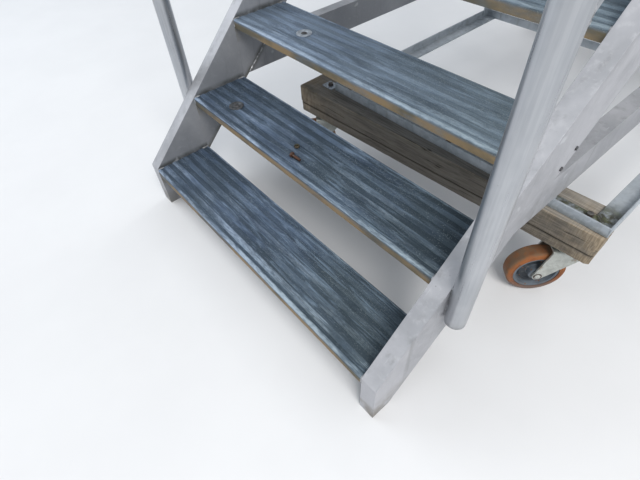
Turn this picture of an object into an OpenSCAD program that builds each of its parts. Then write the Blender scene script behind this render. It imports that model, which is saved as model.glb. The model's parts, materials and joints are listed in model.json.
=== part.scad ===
// Mobile aircraft stairs: a welded aluminium flight of extruded treads with a boarding platform,
// tube rails, two long side rails, and a wheeled undercarriage of timber bolsters,
// a galvanised angle frame and four swivel casters.
// Working frame: x = 0 at the left stringer's inner face, y = 0 at the first nosing, z = 0 at the floor.

/* [Flight] */
// Clear width between the stringers
clear_w = 1000; // [800:10:1100]
// Height from one tread to the next
rise = 190; // [170:5:210]
// Depth from one nosing to the next
going = 200; // [190:5:240]
// Height of the first tread above the floor
first_rise = 155; // [140:5:190]
// Depth of one tread plank from front to back
tread_d = 199; // [170:1:205]
// Height of a tread plank's front nosing
nose_h = 27; // [22:1:36]
// Thickness of a plank's top sheet and webs
plank_t = 3.5; // [3:0.5:5]
// Height of the grip ribs on a plank
rib_h = 1.5; // [1:0.5:2.5]
// Width of one grip rib band
rib_w = 20; // [12:1:24]
// Width of a stringer, side to side
stringer_w = 44; // [40:1:60]
// Depth of a stringer, square to its slope
stringer_d = 150; // [130:5:170]
// Wall of the stringers, beams, side rails and legs
box_wall = 4; // [3:0.5:6]

/* [Platform] */
// Length of the platform
platform_l = 1000; // [800:50:1200]
// Height of the platform's beams
beam_h = 150; // [120:5:180]
// Height of the toe boards above the deck
toe_h = 100; // [80:5:150]
// Thickness of a toe board
toe_t = 5; // [4:0.5:8]
// Thickness of the rubber bumper, front to back
bumper_t = 60; // [40:5:90]
// Height of the rubber bumper
bumper_h = 110; // [80:5:118]
// Radius along the bumper's long edges
bumper_r = 18; // [10:1:25]

/* [Rails] */
// Outside diameter of the rail tubes
tube_d = 48; // [42:1:54]
// Wall of the rail tubes
tube_wall = 3; // [2:0.5:4]
// Outside diameter of the knee rails
knee_d = 38; // [32:1:40]
// Height of the flight's handrail above the nosing line
handrail_h = 950; // [900:10:1050]
// Height of the flight's knee rail above the nosing line
knee_h = 500; // [450:10:550]
// Height of the platform's guard rail above the deck
guard_h = 1100; // [1050:10:1150]
// Radius of the bends in the tube rails, at the tube's middle
bend_r = 110; // [80:5:150]
// Distance from the first nosing back to the lowest post
post_y = 215; // [200:5:260]
// Height of the lowest post's open end above the floor
post_z = 300; // [260:5:320]
// Distance from the platform's ends to its end posts
post_inset = 40; // [30:5:80]

/* [Side rails and legs] */
// Height of a side rail
side_rail_h = 95; // [80:5:110]
// Width of a leg along the side rail
leg_l = 60; // [50:5:80]
// Distance from the platform's ends to the legs
leg_inset = 40; // [20:5:80]
// Depth of a diagonal brace, square to its slope
brace_d = 50; // [40:5:60]
// Side of a square cross tube
cross_s = 50; // [40:5:60]

/* [Undercarriage] */
// Distance from the left stringer's inner face to the angle frame's left side
frame_x = 240; // [180:10:300]
// Width of the angle frame
frame_w = 940; // [900:10:1000]
// Distance from the first nosing to the front of the angle frame
frame_y = 612; // [600:2:660]
// Gap between the angle frame's rear and the platform's aircraft end
frame_inset = 60; // [40:5:120]
// Height and width of the frame's angle section
angle_s = 50; // [40:5:60]
// Thickness of the frame's angle section
angle_t = 5; // [4:0.5:8]
// Length of a timber bolster
bolster_l = 1060; // [1000:10:1100]
// Depth of a timber bolster, front to back
bolster_d = 120; // [112:2:150]
// Height of a bolster's upper plank
plank_upper_h = 63; // [50:1:80]
// Height of a bolster's lower plank
plank_lower_h = 32; // [25:1:45]
// Angle at which the front bolster lies askew under the frame
bolster_skew = 2.8; // [0:0.2:3]

/* [Casters] */
// Diameter of a caster wheel
wheel_d = 160; // [125:5:170]
// Width of a caster wheel
wheel_w = 46; // [36:1:50]
// Thickness of the wheel's tyre
tyre_t = 18; // [12:1:24]
// Height of a caster from the floor to the top of its plate
caster_h = 205; // [200:1:240]
// Distance from the swivel axis to the wheel's axle
trail = 50; // [35:1:55]
// Compass turn of each caster's trail when parked, from the x axis
caster_turn = 227; // [0:1:359]
// Side of the square caster plate
plate_s = 104; // [90:2:110]
// Thickness of the caster plate and of the fork's sheet
fork_t = 5; // [4:0.5:6]
// Diameter of a wheel's axle
axle_d = 16; // [12:1:20]
// Distance from a bolster's end to the swivel axis
swivel_inset = 74; // [60:1:90]

/* [Hidden] */
$fn = 48;

tread_count = 7;
deck_planks = 5;
through = 1;
pitch = atan(rise / going);
slope = rise / going;
stringer_drop = stringer_d / cos(pitch);
platform_y = tread_count * going;
platform_z = first_rise + tread_count * rise;
platform_end = platform_y + platform_l;
beam_z = platform_z - nose_h;
deck_pitch = platform_l / deck_planks;
beam_bottom = beam_z - beam_h;

bolster_z = caster_h;
bolster_top = bolster_z + plank_lower_h + plank_upper_h;
side_rail_z = bolster_top + angle_s;
side_rail_top = side_rail_z + side_rail_h;
leg_front_y = platform_y + leg_inset;
leg_rear_y = platform_end - leg_inset - leg_l;

frame_end = platform_end - frame_inset;
frame_right = frame_x + frame_w;
// The front bolster lies this far ahead of the angle frame at its right end
bolster_ahead = 12;
bolster_front_y = frame_y - bolster_ahead;
bolster_rear_y = frame_end - angle_s / 2 - bolster_d / 2;

// Tube rails stand against the outside of the stringers and beams
tube_r = tube_d / 2;
elbow_swell = 0.2;
rail_x_left = -stringer_w - tube_r;
rail_x_right = clear_w + stringer_w + tube_r;
guard_y1 = platform_y + post_inset;
guard_y2 = platform_end - post_inset;
guard_mid = (guard_y1 + guard_y2) / 2;
upper_post_y = guard_y1 - 7 * tube_d;

// The toe boards lap onto the posts, and the deck ends at their inner faces
toe_lap = tube_wall / 2;
deck_inset = toe_t - toe_lap;

// The origin is the middle of the whole machine's footprint
mid_x = (-stringer_w - tube_d - elbow_swell + frame_right) / 2;
mid_y = (platform_end + bumper_t) / 2;

// Height of the nosing line at y
function nosing_z(y) = first_rise + slope * y;
// A point at y, a drop below the nosing line
function under_nosing(y, drop) = [y, nosing_z(y) - drop];
// Where a line at that drop meets the height z
function y_at(z, drop) = (z - first_rise + drop) / slope;

// Places a piece of the working frame in the part's own frame
module placed() {
    translate([-mid_x, -mid_y, 0]) children();
}

// Stretches an outline drawn in y and z along x
module along_x(x, length) {
    translate([x, 0, 0]) rotate([90, 0, 90]) linear_extrude(length) children();
}

// Hollow member: an outline in y and z with a second outline cut out between its side walls
module hollow_member(x, width, wall) {
    difference() {
        along_x(x, width) children(0);
        along_x(x + wall, width - 2 * wall) children(1);
    }
}

// Stringers

module stringer_outline() {
    foot_back = y_at(0, stringer_drop);
    polygon([[0, 0], [foot_back, 0], under_nosing(platform_y, stringer_drop),
        [platform_y, platform_z], [0, first_rise]]);
}

// The hollow runs out through the foot and stops at walls in front and at the top
module stringer_hollow() {
    wall_drop = box_wall / cos(pitch);
    top_y = platform_y - box_wall;
    polygon([[box_wall, -through], [y_at(-through, stringer_drop - wall_drop), -through],
        under_nosing(top_y, stringer_drop - wall_drop), under_nosing(top_y, wall_drop),
        under_nosing(box_wall, wall_drop)]);
}

module stringer(x) {
    color("lightsteelblue") placed() hollow_member(x, stringer_w, box_wall) {
        stringer_outline();
        stringer_hollow();
    }
}

// Plank section, drawn with its nosing's top corner at the origin and its back along +x
module plank_section() {
    nose_r = 3;
    nose_l = 16;
    web_foot = 14;
    inner_l = tread_d - nose_l - plank_t;
    rib_count = floor((inner_l + nose_l) / (rib_w + 8));
    rib_pitch = (tread_d - rib_w) / rib_count;
    top = -rib_h;
    translate([0, top - plank_t]) square([tread_d, plank_t]);
    for (i = [1 : rib_count]) translate([i * rib_pitch, top - plank_t / 2]) square([rib_w, -top + plank_t / 2]);
    // Nosing: a closed box with a rounded top corner
    difference() {
        union() {
            translate([nose_r, -nose_h]) square([nose_l - nose_r, nose_h]);
            translate([0, -nose_h]) square([nose_l, nose_h - nose_r]);
            translate([nose_r, -nose_r]) circle(nose_r);
        }
        translate([plank_t, -nose_h + plank_t]) square([nose_l - 2 * plank_t, nose_h - rib_h - 2 * plank_t]);
    }
    // Back flange and two webs with feet
    translate([tread_d - plank_t, -nose_h]) square([plank_t, nose_h - rib_h]);
    translate([tread_d - web_foot, -nose_h]) square([web_foot, plank_t]);
    for (share = [1, 2]) translate([nose_l + share * inner_l / 3, -nose_h]) {
        square([plank_t, nose_h - rib_h]);
        translate([-web_foot / 2 + plank_t / 2, 0]) square([web_foot, plank_t]);
    }
}

module tread(number) {
    color("slategray") placed() translate([0, (number - 1) * going, first_rise + (number - 1) * rise])
        along_x(0, clear_w) plank_section();
}

// Platform

module platform_deck() {
    color("slategray") placed()
        for (i = [0 : deck_planks - 1]) translate([0, platform_y + i * deck_pitch, platform_z])
            along_x(deck_inset - stringer_w, clear_w + 2 * (stringer_w - deck_inset)) plank_section();
}

// Beams are channels that open inwards, with cross channels between them
module platform_frame() {
    outer_w = clear_w + 2 * stringer_w;
    flange = stringer_w;
    color("lightsteelblue") placed() {
        difference() {
            translate([-stringer_w, platform_y, beam_bottom]) cube([outer_w, platform_l, beam_h]);
            // Opening inside the four beams
            translate([0, platform_y + flange, beam_bottom - through])
                cube([clear_w, platform_l - 2 * flange, beam_h + 2 * through]);
            // The channels' hollows between their flanges
            translate([-stringer_w + box_wall, platform_y + box_wall, beam_bottom + box_wall])
                cube([outer_w - 2 * box_wall, platform_l - 2 * box_wall, beam_h - 2 * box_wall]);
        }
        for (share = [1, 2]) translate([-stringer_w + box_wall, platform_y + share * platform_l / 3, beam_bottom + box_wall])
            cross_channel(outer_w - 2 * box_wall, beam_h - 2 * box_wall);
    }
}

module cross_channel(length, height) {
    depth = 40;
    translate([0, -depth / 2, 0]) difference() {
        cube([length, depth, height]);
        translate([-through, box_wall, box_wall]) cube([length + 2 * through, depth, height - 2 * box_wall]);
    }
}

// Rubber bumper with rounded long edges and a flat outer face
module bumper() {
    r = bumper_r;
    bottom = beam_bottom + (beam_h - bumper_h) / 2;
    color("dimgray") placed() along_x(-stringer_w, clear_w + 2 * stringer_w)
        translate([platform_end, bottom]) {
            square([bumper_t - r, bumper_h]);
            translate([0, r]) square([bumper_t, bumper_h - 2 * r]);
            for (z = [r, bumper_h - r]) translate([bumper_t - r, z]) circle(r);
        }
}

// Tube rails, drawn as paths in y and z at x = 0

// Straight tube from one [y, z] point to another
module run(from, to, d) {
    step = to - from;
    translate([0, from[0], from[1]]) rotate([atan2(-step[0], step[1]), 0, 0]) cylinder(h = norm(step), d = d);
}

// Pressed elbow about the centre [y, z], from one angle to the next. It is a little thicker
// than the tubes and laps over their ends.
module bend(centre, from_angle, to_angle, d) {
    lap = 1;
    translate([0, centre[0], centre[1]]) rotate([90, 0, 90]) rotate(from_angle - lap)
        rotate_extrude(angle = to_angle - from_angle + 2 * lap) translate([bend_r, 0]) circle(d / 2 + elbow_swell);
}

// The flight's handrail: a bent lower post, an upper post, the sloping rail and a knee rail.
// A bore is the same path with a smaller tube, run on through the open feet.
module handrail_path(inset, open) {
    d = tube_d - 2 * inset;
    bend_end = 90 + pitch;
    turn_y = post_y + bend_r;
    rail_y = turn_y + bend_r * cos(bend_end);
    turn_z = rail_line(rail_y) - bend_r * sin(bend_end);
    run([post_y, post_z - open], [post_y, turn_z], d);
    bend([turn_y, turn_z], bend_end, 180, d);
    run([rail_y, rail_line(rail_y)], [guard_y1, rail_line(guard_y1)], d);
    run([post_y, nosing_z(post_y) + knee_h], [guard_y1, nosing_z(guard_y1) + knee_h], knee_d - 2 * inset);
    run([upper_post_y, nosing_z(upper_post_y) - stringer_drop / 2 - open],
        [upper_post_y, rail_line(upper_post_y)], d);
}

// Height of the sloping handrail's middle at y
function rail_line(y) = nosing_z(y) + handrail_h - tube_r;

module handrail(x) {
    cope_gap = 0.3;
    color("silver") placed() translate([x, 0, 0]) difference() {
        handrail_path(0, 0);
        handrail_path(tube_wall, through);
        // The sloping rails are coped to the guard rail's front post
        translate([0, guard_y1, beam_bottom]) cylinder(h = 2 * guard_h, r = tube_r + cope_gap);
    }
}

// The platform's guard rail: one bent tube, a middle post and a knee rail
module guard_path(inset, open) {
    d = tube_d - 2 * inset;
    top = platform_z + guard_h - tube_r;
    foot = beam_bottom;
    knee = platform_z + guard_h / 2;
    run([guard_y1, foot - open], [guard_y1, top - bend_r], d);
    bend([guard_y1 + bend_r, top - bend_r], 90, 180, d);
    run([guard_y1 + bend_r, top], [guard_y2 - bend_r, top], d);
    bend([guard_y2 - bend_r, top - bend_r], 0, 90, d);
    run([guard_y2, foot - open], [guard_y2, top - bend_r], d);
    run([guard_mid, foot - open], [guard_mid, top], d);
    run([guard_y1, knee], [guard_y2, knee], knee_d - 2 * inset);
}

module guard_rail(x, side) {
    color("silver") placed() {
        translate([x, 0, 0]) difference() {
            guard_path(0, 0);
            guard_path(tube_wall, through);
        }
        // Toe board, welded to the posts' inner sides
        toe_x = x + side * (tube_r - toe_lap) - (side < 0 ? toe_t : 0);
        translate([toe_x, guard_y1, platform_z]) cube([toe_t, guard_y2 - guard_y1, toe_h]);
    }
}

// Side rails, legs, braces and cross tubes

module side_rail(x) {
    color("lightsteelblue") placed() hollow_member(x, stringer_w, box_wall) {
        polygon([[y_at(side_rail_z, stringer_drop), side_rail_z], [platform_end, side_rail_z],
            [platform_end, side_rail_top], [y_at(side_rail_top, stringer_drop), side_rail_top]]);
        low = side_rail_z + box_wall;
        high = side_rail_top - box_wall;
        polygon([[y_at(low, stringer_drop) + box_wall, low], [platform_end + through, low],
            [platform_end + through, high], [y_at(high, stringer_drop) + box_wall, high]]);
    }
}

module leg(x, y) {
    height = beam_bottom - side_rail_top;
    color("lightsteelblue") placed() translate([x, y, side_rail_top]) difference() {
        cube([stringer_w, leg_l, height]);
        translate([box_wall, box_wall, -through])
            cube([stringer_w - 2 * box_wall, leg_l - 2 * box_wall, height + 2 * through]);
    }
}

// Diagonal from the foot of the front leg to the head of the rear leg
module brace(x) {
    y1 = leg_front_y + leg_l;
    y2 = leg_rear_y;
    steep = atan2(beam_bottom - side_rail_top, y2 - y1);
    thick = brace_d / cos(steep);
    inset = (stringer_w - brace_d * 0.8) / 2;
    width = brace_d * 0.8;
    wall_drop = box_wall / cos(steep);
    color("lightsteelblue") placed() difference() {
        along_x(x + inset, width) polygon([[y1, side_rail_top], [y1 + thick / tan(steep), side_rail_top],
            [y2, beam_bottom - thick], [y2, beam_bottom], [y2 - thick / tan(steep), beam_bottom],
            [y1, side_rail_top + thick]]);
        along_x(x + inset + box_wall, width - 2 * box_wall) polygon([
            [y1 - through, side_rail_top + wall_drop - through * tan(steep)],
            [y2 + through, beam_bottom - thick + wall_drop + through * tan(steep)],
            [y2 + through, beam_bottom + thick], [y2, beam_bottom + thick - wall_drop],
            [y1 - through, side_rail_top + thick - wall_drop - through * tan(steep)]]);
    }
}

// Square tubes between the side rails, resting on the angle frame's left side
module cross_tubes() {
    color("lightsteelblue") placed() for (y = [frame_y + 3 * cross_s, leg_front_y, leg_rear_y])
        translate([0, y, side_rail_z]) difference() {
            cube([clear_w, cross_s, cross_s]);
            translate([-through, box_wall, box_wall])
                cube([clear_w + 2 * through, cross_s - 2 * box_wall, cross_s - 2 * box_wall]);
        }
}

// Undercarriage

// Ring of angle section, its upright leg outside and its flat leg on the bolsters
module angle_frame() {
    length = frame_end - frame_y;
    mid = length / 2;
    color("lightgray") placed() translate([frame_x, frame_y, bolster_top]) {
        difference() {
            cube([frame_w, length, angle_s]);
            translate([angle_t, angle_t, angle_t]) cube([frame_w - 2 * angle_t, length - 2 * angle_t, angle_s]);
            translate([angle_s, angle_s, -through])
                cube([frame_w - 2 * angle_s, length - 2 * angle_s, angle_s]);
        }
        // Middle member of the same section
        translate([angle_t, mid, 0]) {
            cube([frame_w - 2 * angle_t, angle_s, angle_t]);
            cube([frame_w - 2 * angle_t, angle_t, angle_s]);
        }
    }
}

// Turns the front bolster and what it carries about its right front corner
module askew() {
    translate([frame_right, bolster_front_y, 0]) rotate(bolster_skew) children();
}

// Weathered sawn plank with its right front corner at the origin
module bolster_plank(z, height) {
    translate([-bolster_l, 0, z]) cube([bolster_l, bolster_d, height]);
}

module bolster_front(z, height) {
    color("tan") placed() askew() bolster_plank(z, height);
}

module bolster_rear(z, height) {
    color("tan") placed() translate([frame_right, bolster_rear_y, 0]) bolster_plank(z, height);
}

// Casters

fork_top = caster_h - 21;
swivel_z = caster_h - 13;
swivel_r = 29;
swivel_gap = 0.3;
leg_gap = wheel_w / 2 + 6;

// The four swivel axes as [x, y] from each bolster's right front corner
function swivel_local(left) = [left ? swivel_inset - bolster_l : -swivel_inset, bolster_d / 2];
function turned(p, angle) = [p[0] * cos(angle) - p[1] * sin(angle), p[0] * sin(angle) + p[1] * cos(angle)];
function swivel_at(front, left) = front
    ? [frame_right, bolster_front_y] + turned(swivel_local(left), bolster_skew)
    : [frame_right, bolster_rear_y] + swivel_local(left);
// Rows: is it at the front, is it on the left
CORNERS = [[true, true], [true, false], [false, true], [false, false]];

// Puts a caster's own piece at its corner, its trail along the parked direction
module at_corner(front, left) {
    at = swivel_at(front, left);
    placed() translate([at[0], at[1], 0]) rotate(caster_turn) children();
}

module caster_plates() {
    color("silver") placed() for (corner = CORNERS) {
        at = swivel_at(corner[0], corner[1]);
        translate([at[0], at[1], 0]) rotate(corner[0] ? bolster_skew : 0) {
            translate([-plate_s / 2, -plate_s / 2, caster_h - fork_t]) cube([plate_s, plate_s, fork_t]);
            translate([0, 0, swivel_z]) cylinder(h = caster_h - fork_t - swivel_z, r = swivel_r);
        }
    }
}

// Fork cheek in the wheel's plane: broad at the crown, narrow round the axle
module cheek() {
    eye_r = axle_d / 2 + 10;
    crown_back = -36;
    crown_front = 40;
    polygon([[crown_back, fork_top], [crown_front, fork_top], [trail + eye_r * 0.96, wheel_d / 2 + eye_r * 0.28],
        [trail + eye_r * 0.28, wheel_d / 2 - eye_r * 0.96], [trail - eye_r * 0.8, wheel_d / 2 - eye_r * 0.6]]);
    translate([trail, wheel_d / 2]) circle(eye_r);
}

module fork(front, left) {
    collar_l = 3.7;
    bolt_out = leg_gap + fork_t + 9;
    head_z = fork_top - fork_t / 2;
    color("gainsboro") at_corner(front, left) {
        // Crown and swivel head
        translate([-36, -leg_gap - fork_t, fork_top - fork_t]) cube([76, 2 * (leg_gap + fork_t), fork_t]);
        translate([0, 0, head_z]) cylinder(h = swivel_z - swivel_gap - head_z, r = swivel_r + 5);
        // Cheeks, axle and the collars beside the hub
        for (y = [-leg_gap, leg_gap + fork_t]) translate([0, y, 0]) rotate([90, 0, 0]) linear_extrude(fork_t) cheek();
        translate([trail, bolt_out, wheel_d / 2]) rotate([90, 0, 0]) cylinder(h = 2 * bolt_out, d = axle_d);
        for (y = [-leg_gap + collar_l, leg_gap])
            translate([trail, y, wheel_d / 2]) rotate([90, 0, 0]) cylinder(h = collar_l, d = axle_d + 10);
        // Hexagon head and nut
        for (y = [bolt_out, -leg_gap - fork_t])
            translate([trail, y, wheel_d / 2]) rotate([90, 0, 0]) cylinder(h = 9, d = axle_d * 1.75, $fn = 6);
    }
}

// Turns a wheel section, drawn as radius and width, about the axle
module wheel_turned() {
    translate([trail, 0, wheel_d / 2]) rotate([90, 0, 0]) rotate_extrude($fn = 96) children();
}

module tyre(front, left) {
    shoulder = 10;
    outer = wheel_d / 2;
    color("darkorange") at_corner(front, left) wheel_turned() {
        translate([outer - tyre_t, -wheel_w / 2]) square([tyre_t - shoulder, wheel_w]);
        translate([outer - tyre_t, -wheel_w / 2 + shoulder]) square([tyre_t, wheel_w - 2 * shoulder]);
        for (side = [-1, 1]) translate([outer - shoulder, side * (wheel_w / 2 - shoulder)]) circle(shoulder);
    }
}

module hub(front, left) {
    bond = 0.3;
    rim_r = wheel_d / 2 - tyre_t - bond;
    rim_t = 8;
    web_w = 12;
    boss_r = axle_d / 2 + 14;
    boss_w = 2 * (leg_gap - 4);
    running = 0.05;
    bore_r = axle_d / 2 + running;
    color("dimgray") at_corner(front, left) wheel_turned() {
        translate([rim_r - rim_t, -wheel_w / 2 + 2]) square([rim_t, wheel_w - 4]);
        translate([bore_r, -web_w / 2]) square([rim_r - rim_t / 2 - bore_r, web_w]);
        translate([bore_r, -boss_w / 2]) square([boss_r - bore_r, boss_w]);
        // Raised ring half way out on each face
        translate([(boss_r + rim_r) / 2, -web_w / 2 - 3]) square([4, web_w + 6]);
    }
}

stringer(-stringer_w);  // stringer_left
stringer(clear_w);  // stringer_right
tread(1);  // tread_1
tread(2);  // tread_2
tread(3);  // tread_3
tread(4);  // tread_4
tread(5);  // tread_5
tread(6);  // tread_6
tread(7);  // tread_7
platform_deck();
platform_frame();
bumper();
handrail(rail_x_left);  // handrail_left
handrail(rail_x_right);  // handrail_right
guard_rail(rail_x_left, 1);  // guard_rail_left
guard_rail(rail_x_right, -1);  // guard_rail_right
side_rail(-stringer_w);  // side_rail_left
side_rail(clear_w);  // side_rail_right
leg(-stringer_w, leg_front_y);  // leg_front_left
leg(clear_w, leg_front_y);  // leg_front_right
leg(-stringer_w, leg_rear_y);  // leg_rear_left
leg(clear_w, leg_rear_y);  // leg_rear_right
brace(-stringer_w);  // brace_left
brace(clear_w);  // brace_right
cross_tubes();
angle_frame();
bolster_front(bolster_z + plank_lower_h, plank_upper_h);  // bolster_front_upper
bolster_front(bolster_z, plank_lower_h);  // bolster_front_lower
bolster_rear(bolster_z + plank_lower_h, plank_upper_h);  // bolster_rear_upper
bolster_rear(bolster_z, plank_lower_h);  // bolster_rear_lower
caster_plates();
fork(true, true);  // fork_front_left
fork(true, false);  // fork_front_right
fork(false, true);  // fork_rear_left
fork(false, false);  // fork_rear_right
tyre(true, true);  // tyre_front_left
tyre(true, false);  // tyre_front_right
tyre(false, true);  // tyre_rear_left
tyre(false, false);  // tyre_rear_right
hub(true, true);  // hub_front_left
hub(true, false);  // hub_front_right
hub(false, true);  // hub_rear_left
hub(false, false);  // hub_rear_right
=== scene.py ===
import json
import math

import bmesh
import bpy
import numpy as np
from mathutils import Matrix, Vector
from mathutils.geometry import tessellate_polygon


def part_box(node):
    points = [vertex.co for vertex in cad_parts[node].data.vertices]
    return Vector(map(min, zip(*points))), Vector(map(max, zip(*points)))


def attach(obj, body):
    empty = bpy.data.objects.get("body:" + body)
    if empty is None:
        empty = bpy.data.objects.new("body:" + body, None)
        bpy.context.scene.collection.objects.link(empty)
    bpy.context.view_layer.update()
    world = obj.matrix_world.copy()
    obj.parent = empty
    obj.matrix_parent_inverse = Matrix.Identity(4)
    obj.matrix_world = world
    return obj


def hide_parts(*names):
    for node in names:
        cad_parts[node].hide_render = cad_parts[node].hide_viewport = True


# Mobile aircraft stairs: the finishes and the fine pieces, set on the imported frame.
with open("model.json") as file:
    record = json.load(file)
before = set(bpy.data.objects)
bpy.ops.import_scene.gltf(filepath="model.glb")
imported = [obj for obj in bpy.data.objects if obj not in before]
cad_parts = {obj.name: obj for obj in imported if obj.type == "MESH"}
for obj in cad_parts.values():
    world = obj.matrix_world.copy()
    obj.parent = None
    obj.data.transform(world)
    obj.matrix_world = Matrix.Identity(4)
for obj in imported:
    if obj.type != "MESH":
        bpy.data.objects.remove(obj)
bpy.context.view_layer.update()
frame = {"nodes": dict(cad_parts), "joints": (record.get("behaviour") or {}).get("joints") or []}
nodes = frame["nodes"]
joints = {joint["name"]: joint for joint in frame["joints"]}
scene = bpy.context.scene

CORNERS = ("front_left", "front_right", "rear_left", "rear_right")
SIDES = ("left", "right")
MM = 0.001


# Places, read from the frame

def span(node):
    """Lowest and highest corner of a node."""
    low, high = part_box(node)
    return np.array(low), np.array(high)


tread_low, tread_high = span("tread_1")
clear_left = tread_low[0]
clear_right = tread_high[0]
clear_width = clear_right - clear_left
nosing_y = tread_low[1]
nosing_z = tread_high[2]
nose_height = tread_high[2] - tread_low[2]
plank_depth = tread_high[1] - tread_low[1]
going = span("tread_2")[0][1] - nosing_y
rise = span("tread_2")[1][2] - nosing_z
tread_names = sorted(name for name in nodes if name.startswith("tread_"))
deck_low, deck_high = span("platform_deck")
beams_low, beams_high = span("platform_frame")
base_low, base_high = span("angle_frame")
stringer_width = clear_left - span("stringer_left")[0][0]
inner_x = {"left": clear_left, "right": clear_right}
outward = {"left": -1.0, "right": 1.0}
outer_x = {side: inner_x[side] + outward[side] * stringer_width for side in SIDES}
rail_x = {side: np.mean([corner[0] for corner in span(f"handrail_{side}")]) for side in SIDES}
# The lower edge of a stringer lies this far below the line of the nosings
STRINGER_DROP = 206.9 * MM
# The joint between the two planks of a bolster
JOINT_Z = base_low[2] - 63 * MM


def nosing_line(y):
    """Height of the line through the nosings at a place along y."""
    return nosing_z + (y - nosing_y) * rise / going


def on_tread(number, x, back, up=0.0):
    """A point on a tread's top: x in from the left stringer, back from its nosing."""
    step = number - 1
    return np.array([clear_left + x, nosing_y + step * going + back, nosing_z + step * rise + up])


def place(x, back, up):
    """A point in mm: x in from the left stringer, back from the first nosing and up from its tread."""
    return on_tread(1, x * MM, back * MM, up * MM)


# Shells: arrays of points with lists of faces

def quads(rows, columns, round_rows=False, round_columns=False):
    """Faces of a grid of points in rows, which may close on itself either way."""
    row, column = np.meshgrid(np.arange(rows if round_rows else rows - 1),
                              np.arange(columns if round_columns else columns - 1), indexing="ij")
    below = (row + 1) % rows * columns
    beside = (column + 1) % columns
    here = row * columns
    faces = np.stack([here + column, below + column, below + beside, here + beside], -1)
    return faces.reshape(-1, 4).tolist()


def shifted(faces, start):
    """Faces whose points lie further on in the list."""
    return [[start + corner for corner in face] for face in faces]


def joined(shells):
    """Several shells as one."""
    points = []
    faces = []
    start = 0
    for shell_points, shell_faces in shells:
        points.append(shell_points)
        faces += shifted(shell_faces, start)
        start += len(shell_points)
    return np.concatenate(points), faces


def rings(angle, rows, closed=False):
    """Rings round the z axis from rows of radius and height: x = r cos a, y = r sin a."""
    points = [np.stack([r * np.cos(angle), r * np.sin(angle), z + 0 * angle], -1) for r, z in rows]
    return np.concatenate(points), quads(len(points), len(angle), round_rows=closed, round_columns=True)


def lathe(profile, sides=32, ring=False):
    """Each (radius, height) point of the profile is carried round the z axis."""
    return rings(np.linspace(0, 2 * np.pi, sides, endpoint=False), profile, ring)


def hexagon_reach(width):
    """Angles round a hexagon and its radius there: half the width / cos(angle from the nearest flat)."""
    angle = np.linspace(0, 2 * np.pi, 36, endpoint=False)
    flat = np.abs((angle + np.pi / 6) % (np.pi / 3) - np.pi / 6)
    return angle, width / 2 / np.cos(flat)


def hexagon(width, height):
    """Hexagon head with its top's corners turned off to a circle 0.94 of the width across."""
    angle, reach = hexagon_reach(width)
    crown = width * 0.47
    shoulder = height * 0.988 - (reach - crown) * 0.55
    return rings(angle, [(0, 0), (reach, 0), (reach, shoulder), (crown, height), (0, height)])


def turned_to(shell, at, axis=(0, 0, 1), turn=0.0):
    """Turns a shell about its own z, points that z along an axis, and sets it at a place."""
    points, faces = shell
    along = np.array(axis, float) / np.linalg.norm(axis)
    helper = np.array([0.0, 0.0, 1.0]) if abs(along[2]) < 0.9 else np.array([0.0, 1.0, 0.0])
    across = np.cross(helper, along)
    across /= np.linalg.norm(across)
    third = np.cross(along, across)
    spun = points @ np.array(Matrix.Rotation(turn, 3, "Z")).T
    return spun @ np.stack([across, third, along]) + np.array(at), faces


def waves(points, seed, size, count=7):
    """Smooth random relief, mostly from -1 to 1: 1.6 times the mean of seeded sine waves about size long."""
    random = np.random.default_rng(seed)
    direction = random.normal(size=(count, 3))
    direction *= (random.uniform(0.6, 1.8, count) / np.linalg.norm(direction, axis=1))[:, None]
    phase = random.uniform(0, 2 * np.pi, count)
    return np.sin(points / np.array(size) @ direction.T * 2 * np.pi + phase).mean(1) * 1.6


def tube(path, radius, sides=7):
    """Round section carried along a path: each ring is centre + r (cos a . across + sin a . up)."""
    path = np.array(path, float)
    ahead = np.roll(path, -1, 0) - np.roll(path, 1, 0)
    ahead[0] = path[1] - path[0]
    ahead[-1] = path[-1] - path[-2]
    ahead /= np.linalg.norm(ahead, axis=1)[:, None]
    helper = np.eye(3)[np.argmin(np.abs(ahead).max(0))]
    across = np.cross(ahead, helper)
    across /= np.linalg.norm(across, axis=1)[:, None]
    up = np.cross(across, ahead)
    angle = np.linspace(0, 2 * np.pi, sides, endpoint=False)
    round_part = np.cos(angle)[None, :, None] * across[:, None] + np.sin(angle)[None, :, None] * up[:, None]
    points = (path[:, None] + radius[:, None, None] * round_part).reshape(-1, 3)
    last = len(points)
    ends = [[(i + 1) % sides, i, last] for i in range(sides)]
    ends += [[last - sides + i, last - sides + (i + 1) % sides, last + 1] for i in range(sides)]
    return np.concatenate([points, path[:1], path[-1:]]), quads(len(path), sides, round_columns=True) + ends


def bead(path, radius, seed):
    """Weld bead: a tube along the path whose radius swells once every 3.4 mm, like drops that overlap."""
    path = np.array(path, float)
    length = np.concatenate([[0], np.cumsum(np.linalg.norm(np.diff(path, axis=0), axis=1))])
    drop = 3.4 * MM
    count = max(int(length[-1] / drop * 3), 6)
    at = np.linspace(0, length[-1], count)
    line = np.stack([np.interp(at, length, path[:, i]) for i in range(3)], -1)
    swell = 1 + 0.16 * np.abs(np.sin(at / drop * np.pi)) + 0.10 * waves(line, seed, 20 * MM)
    ends = np.clip(np.minimum(at, length[-1] - at) / (2 * MM) + 0.35, 0, 1)
    return tube(line, radius * swell * ends)


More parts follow.
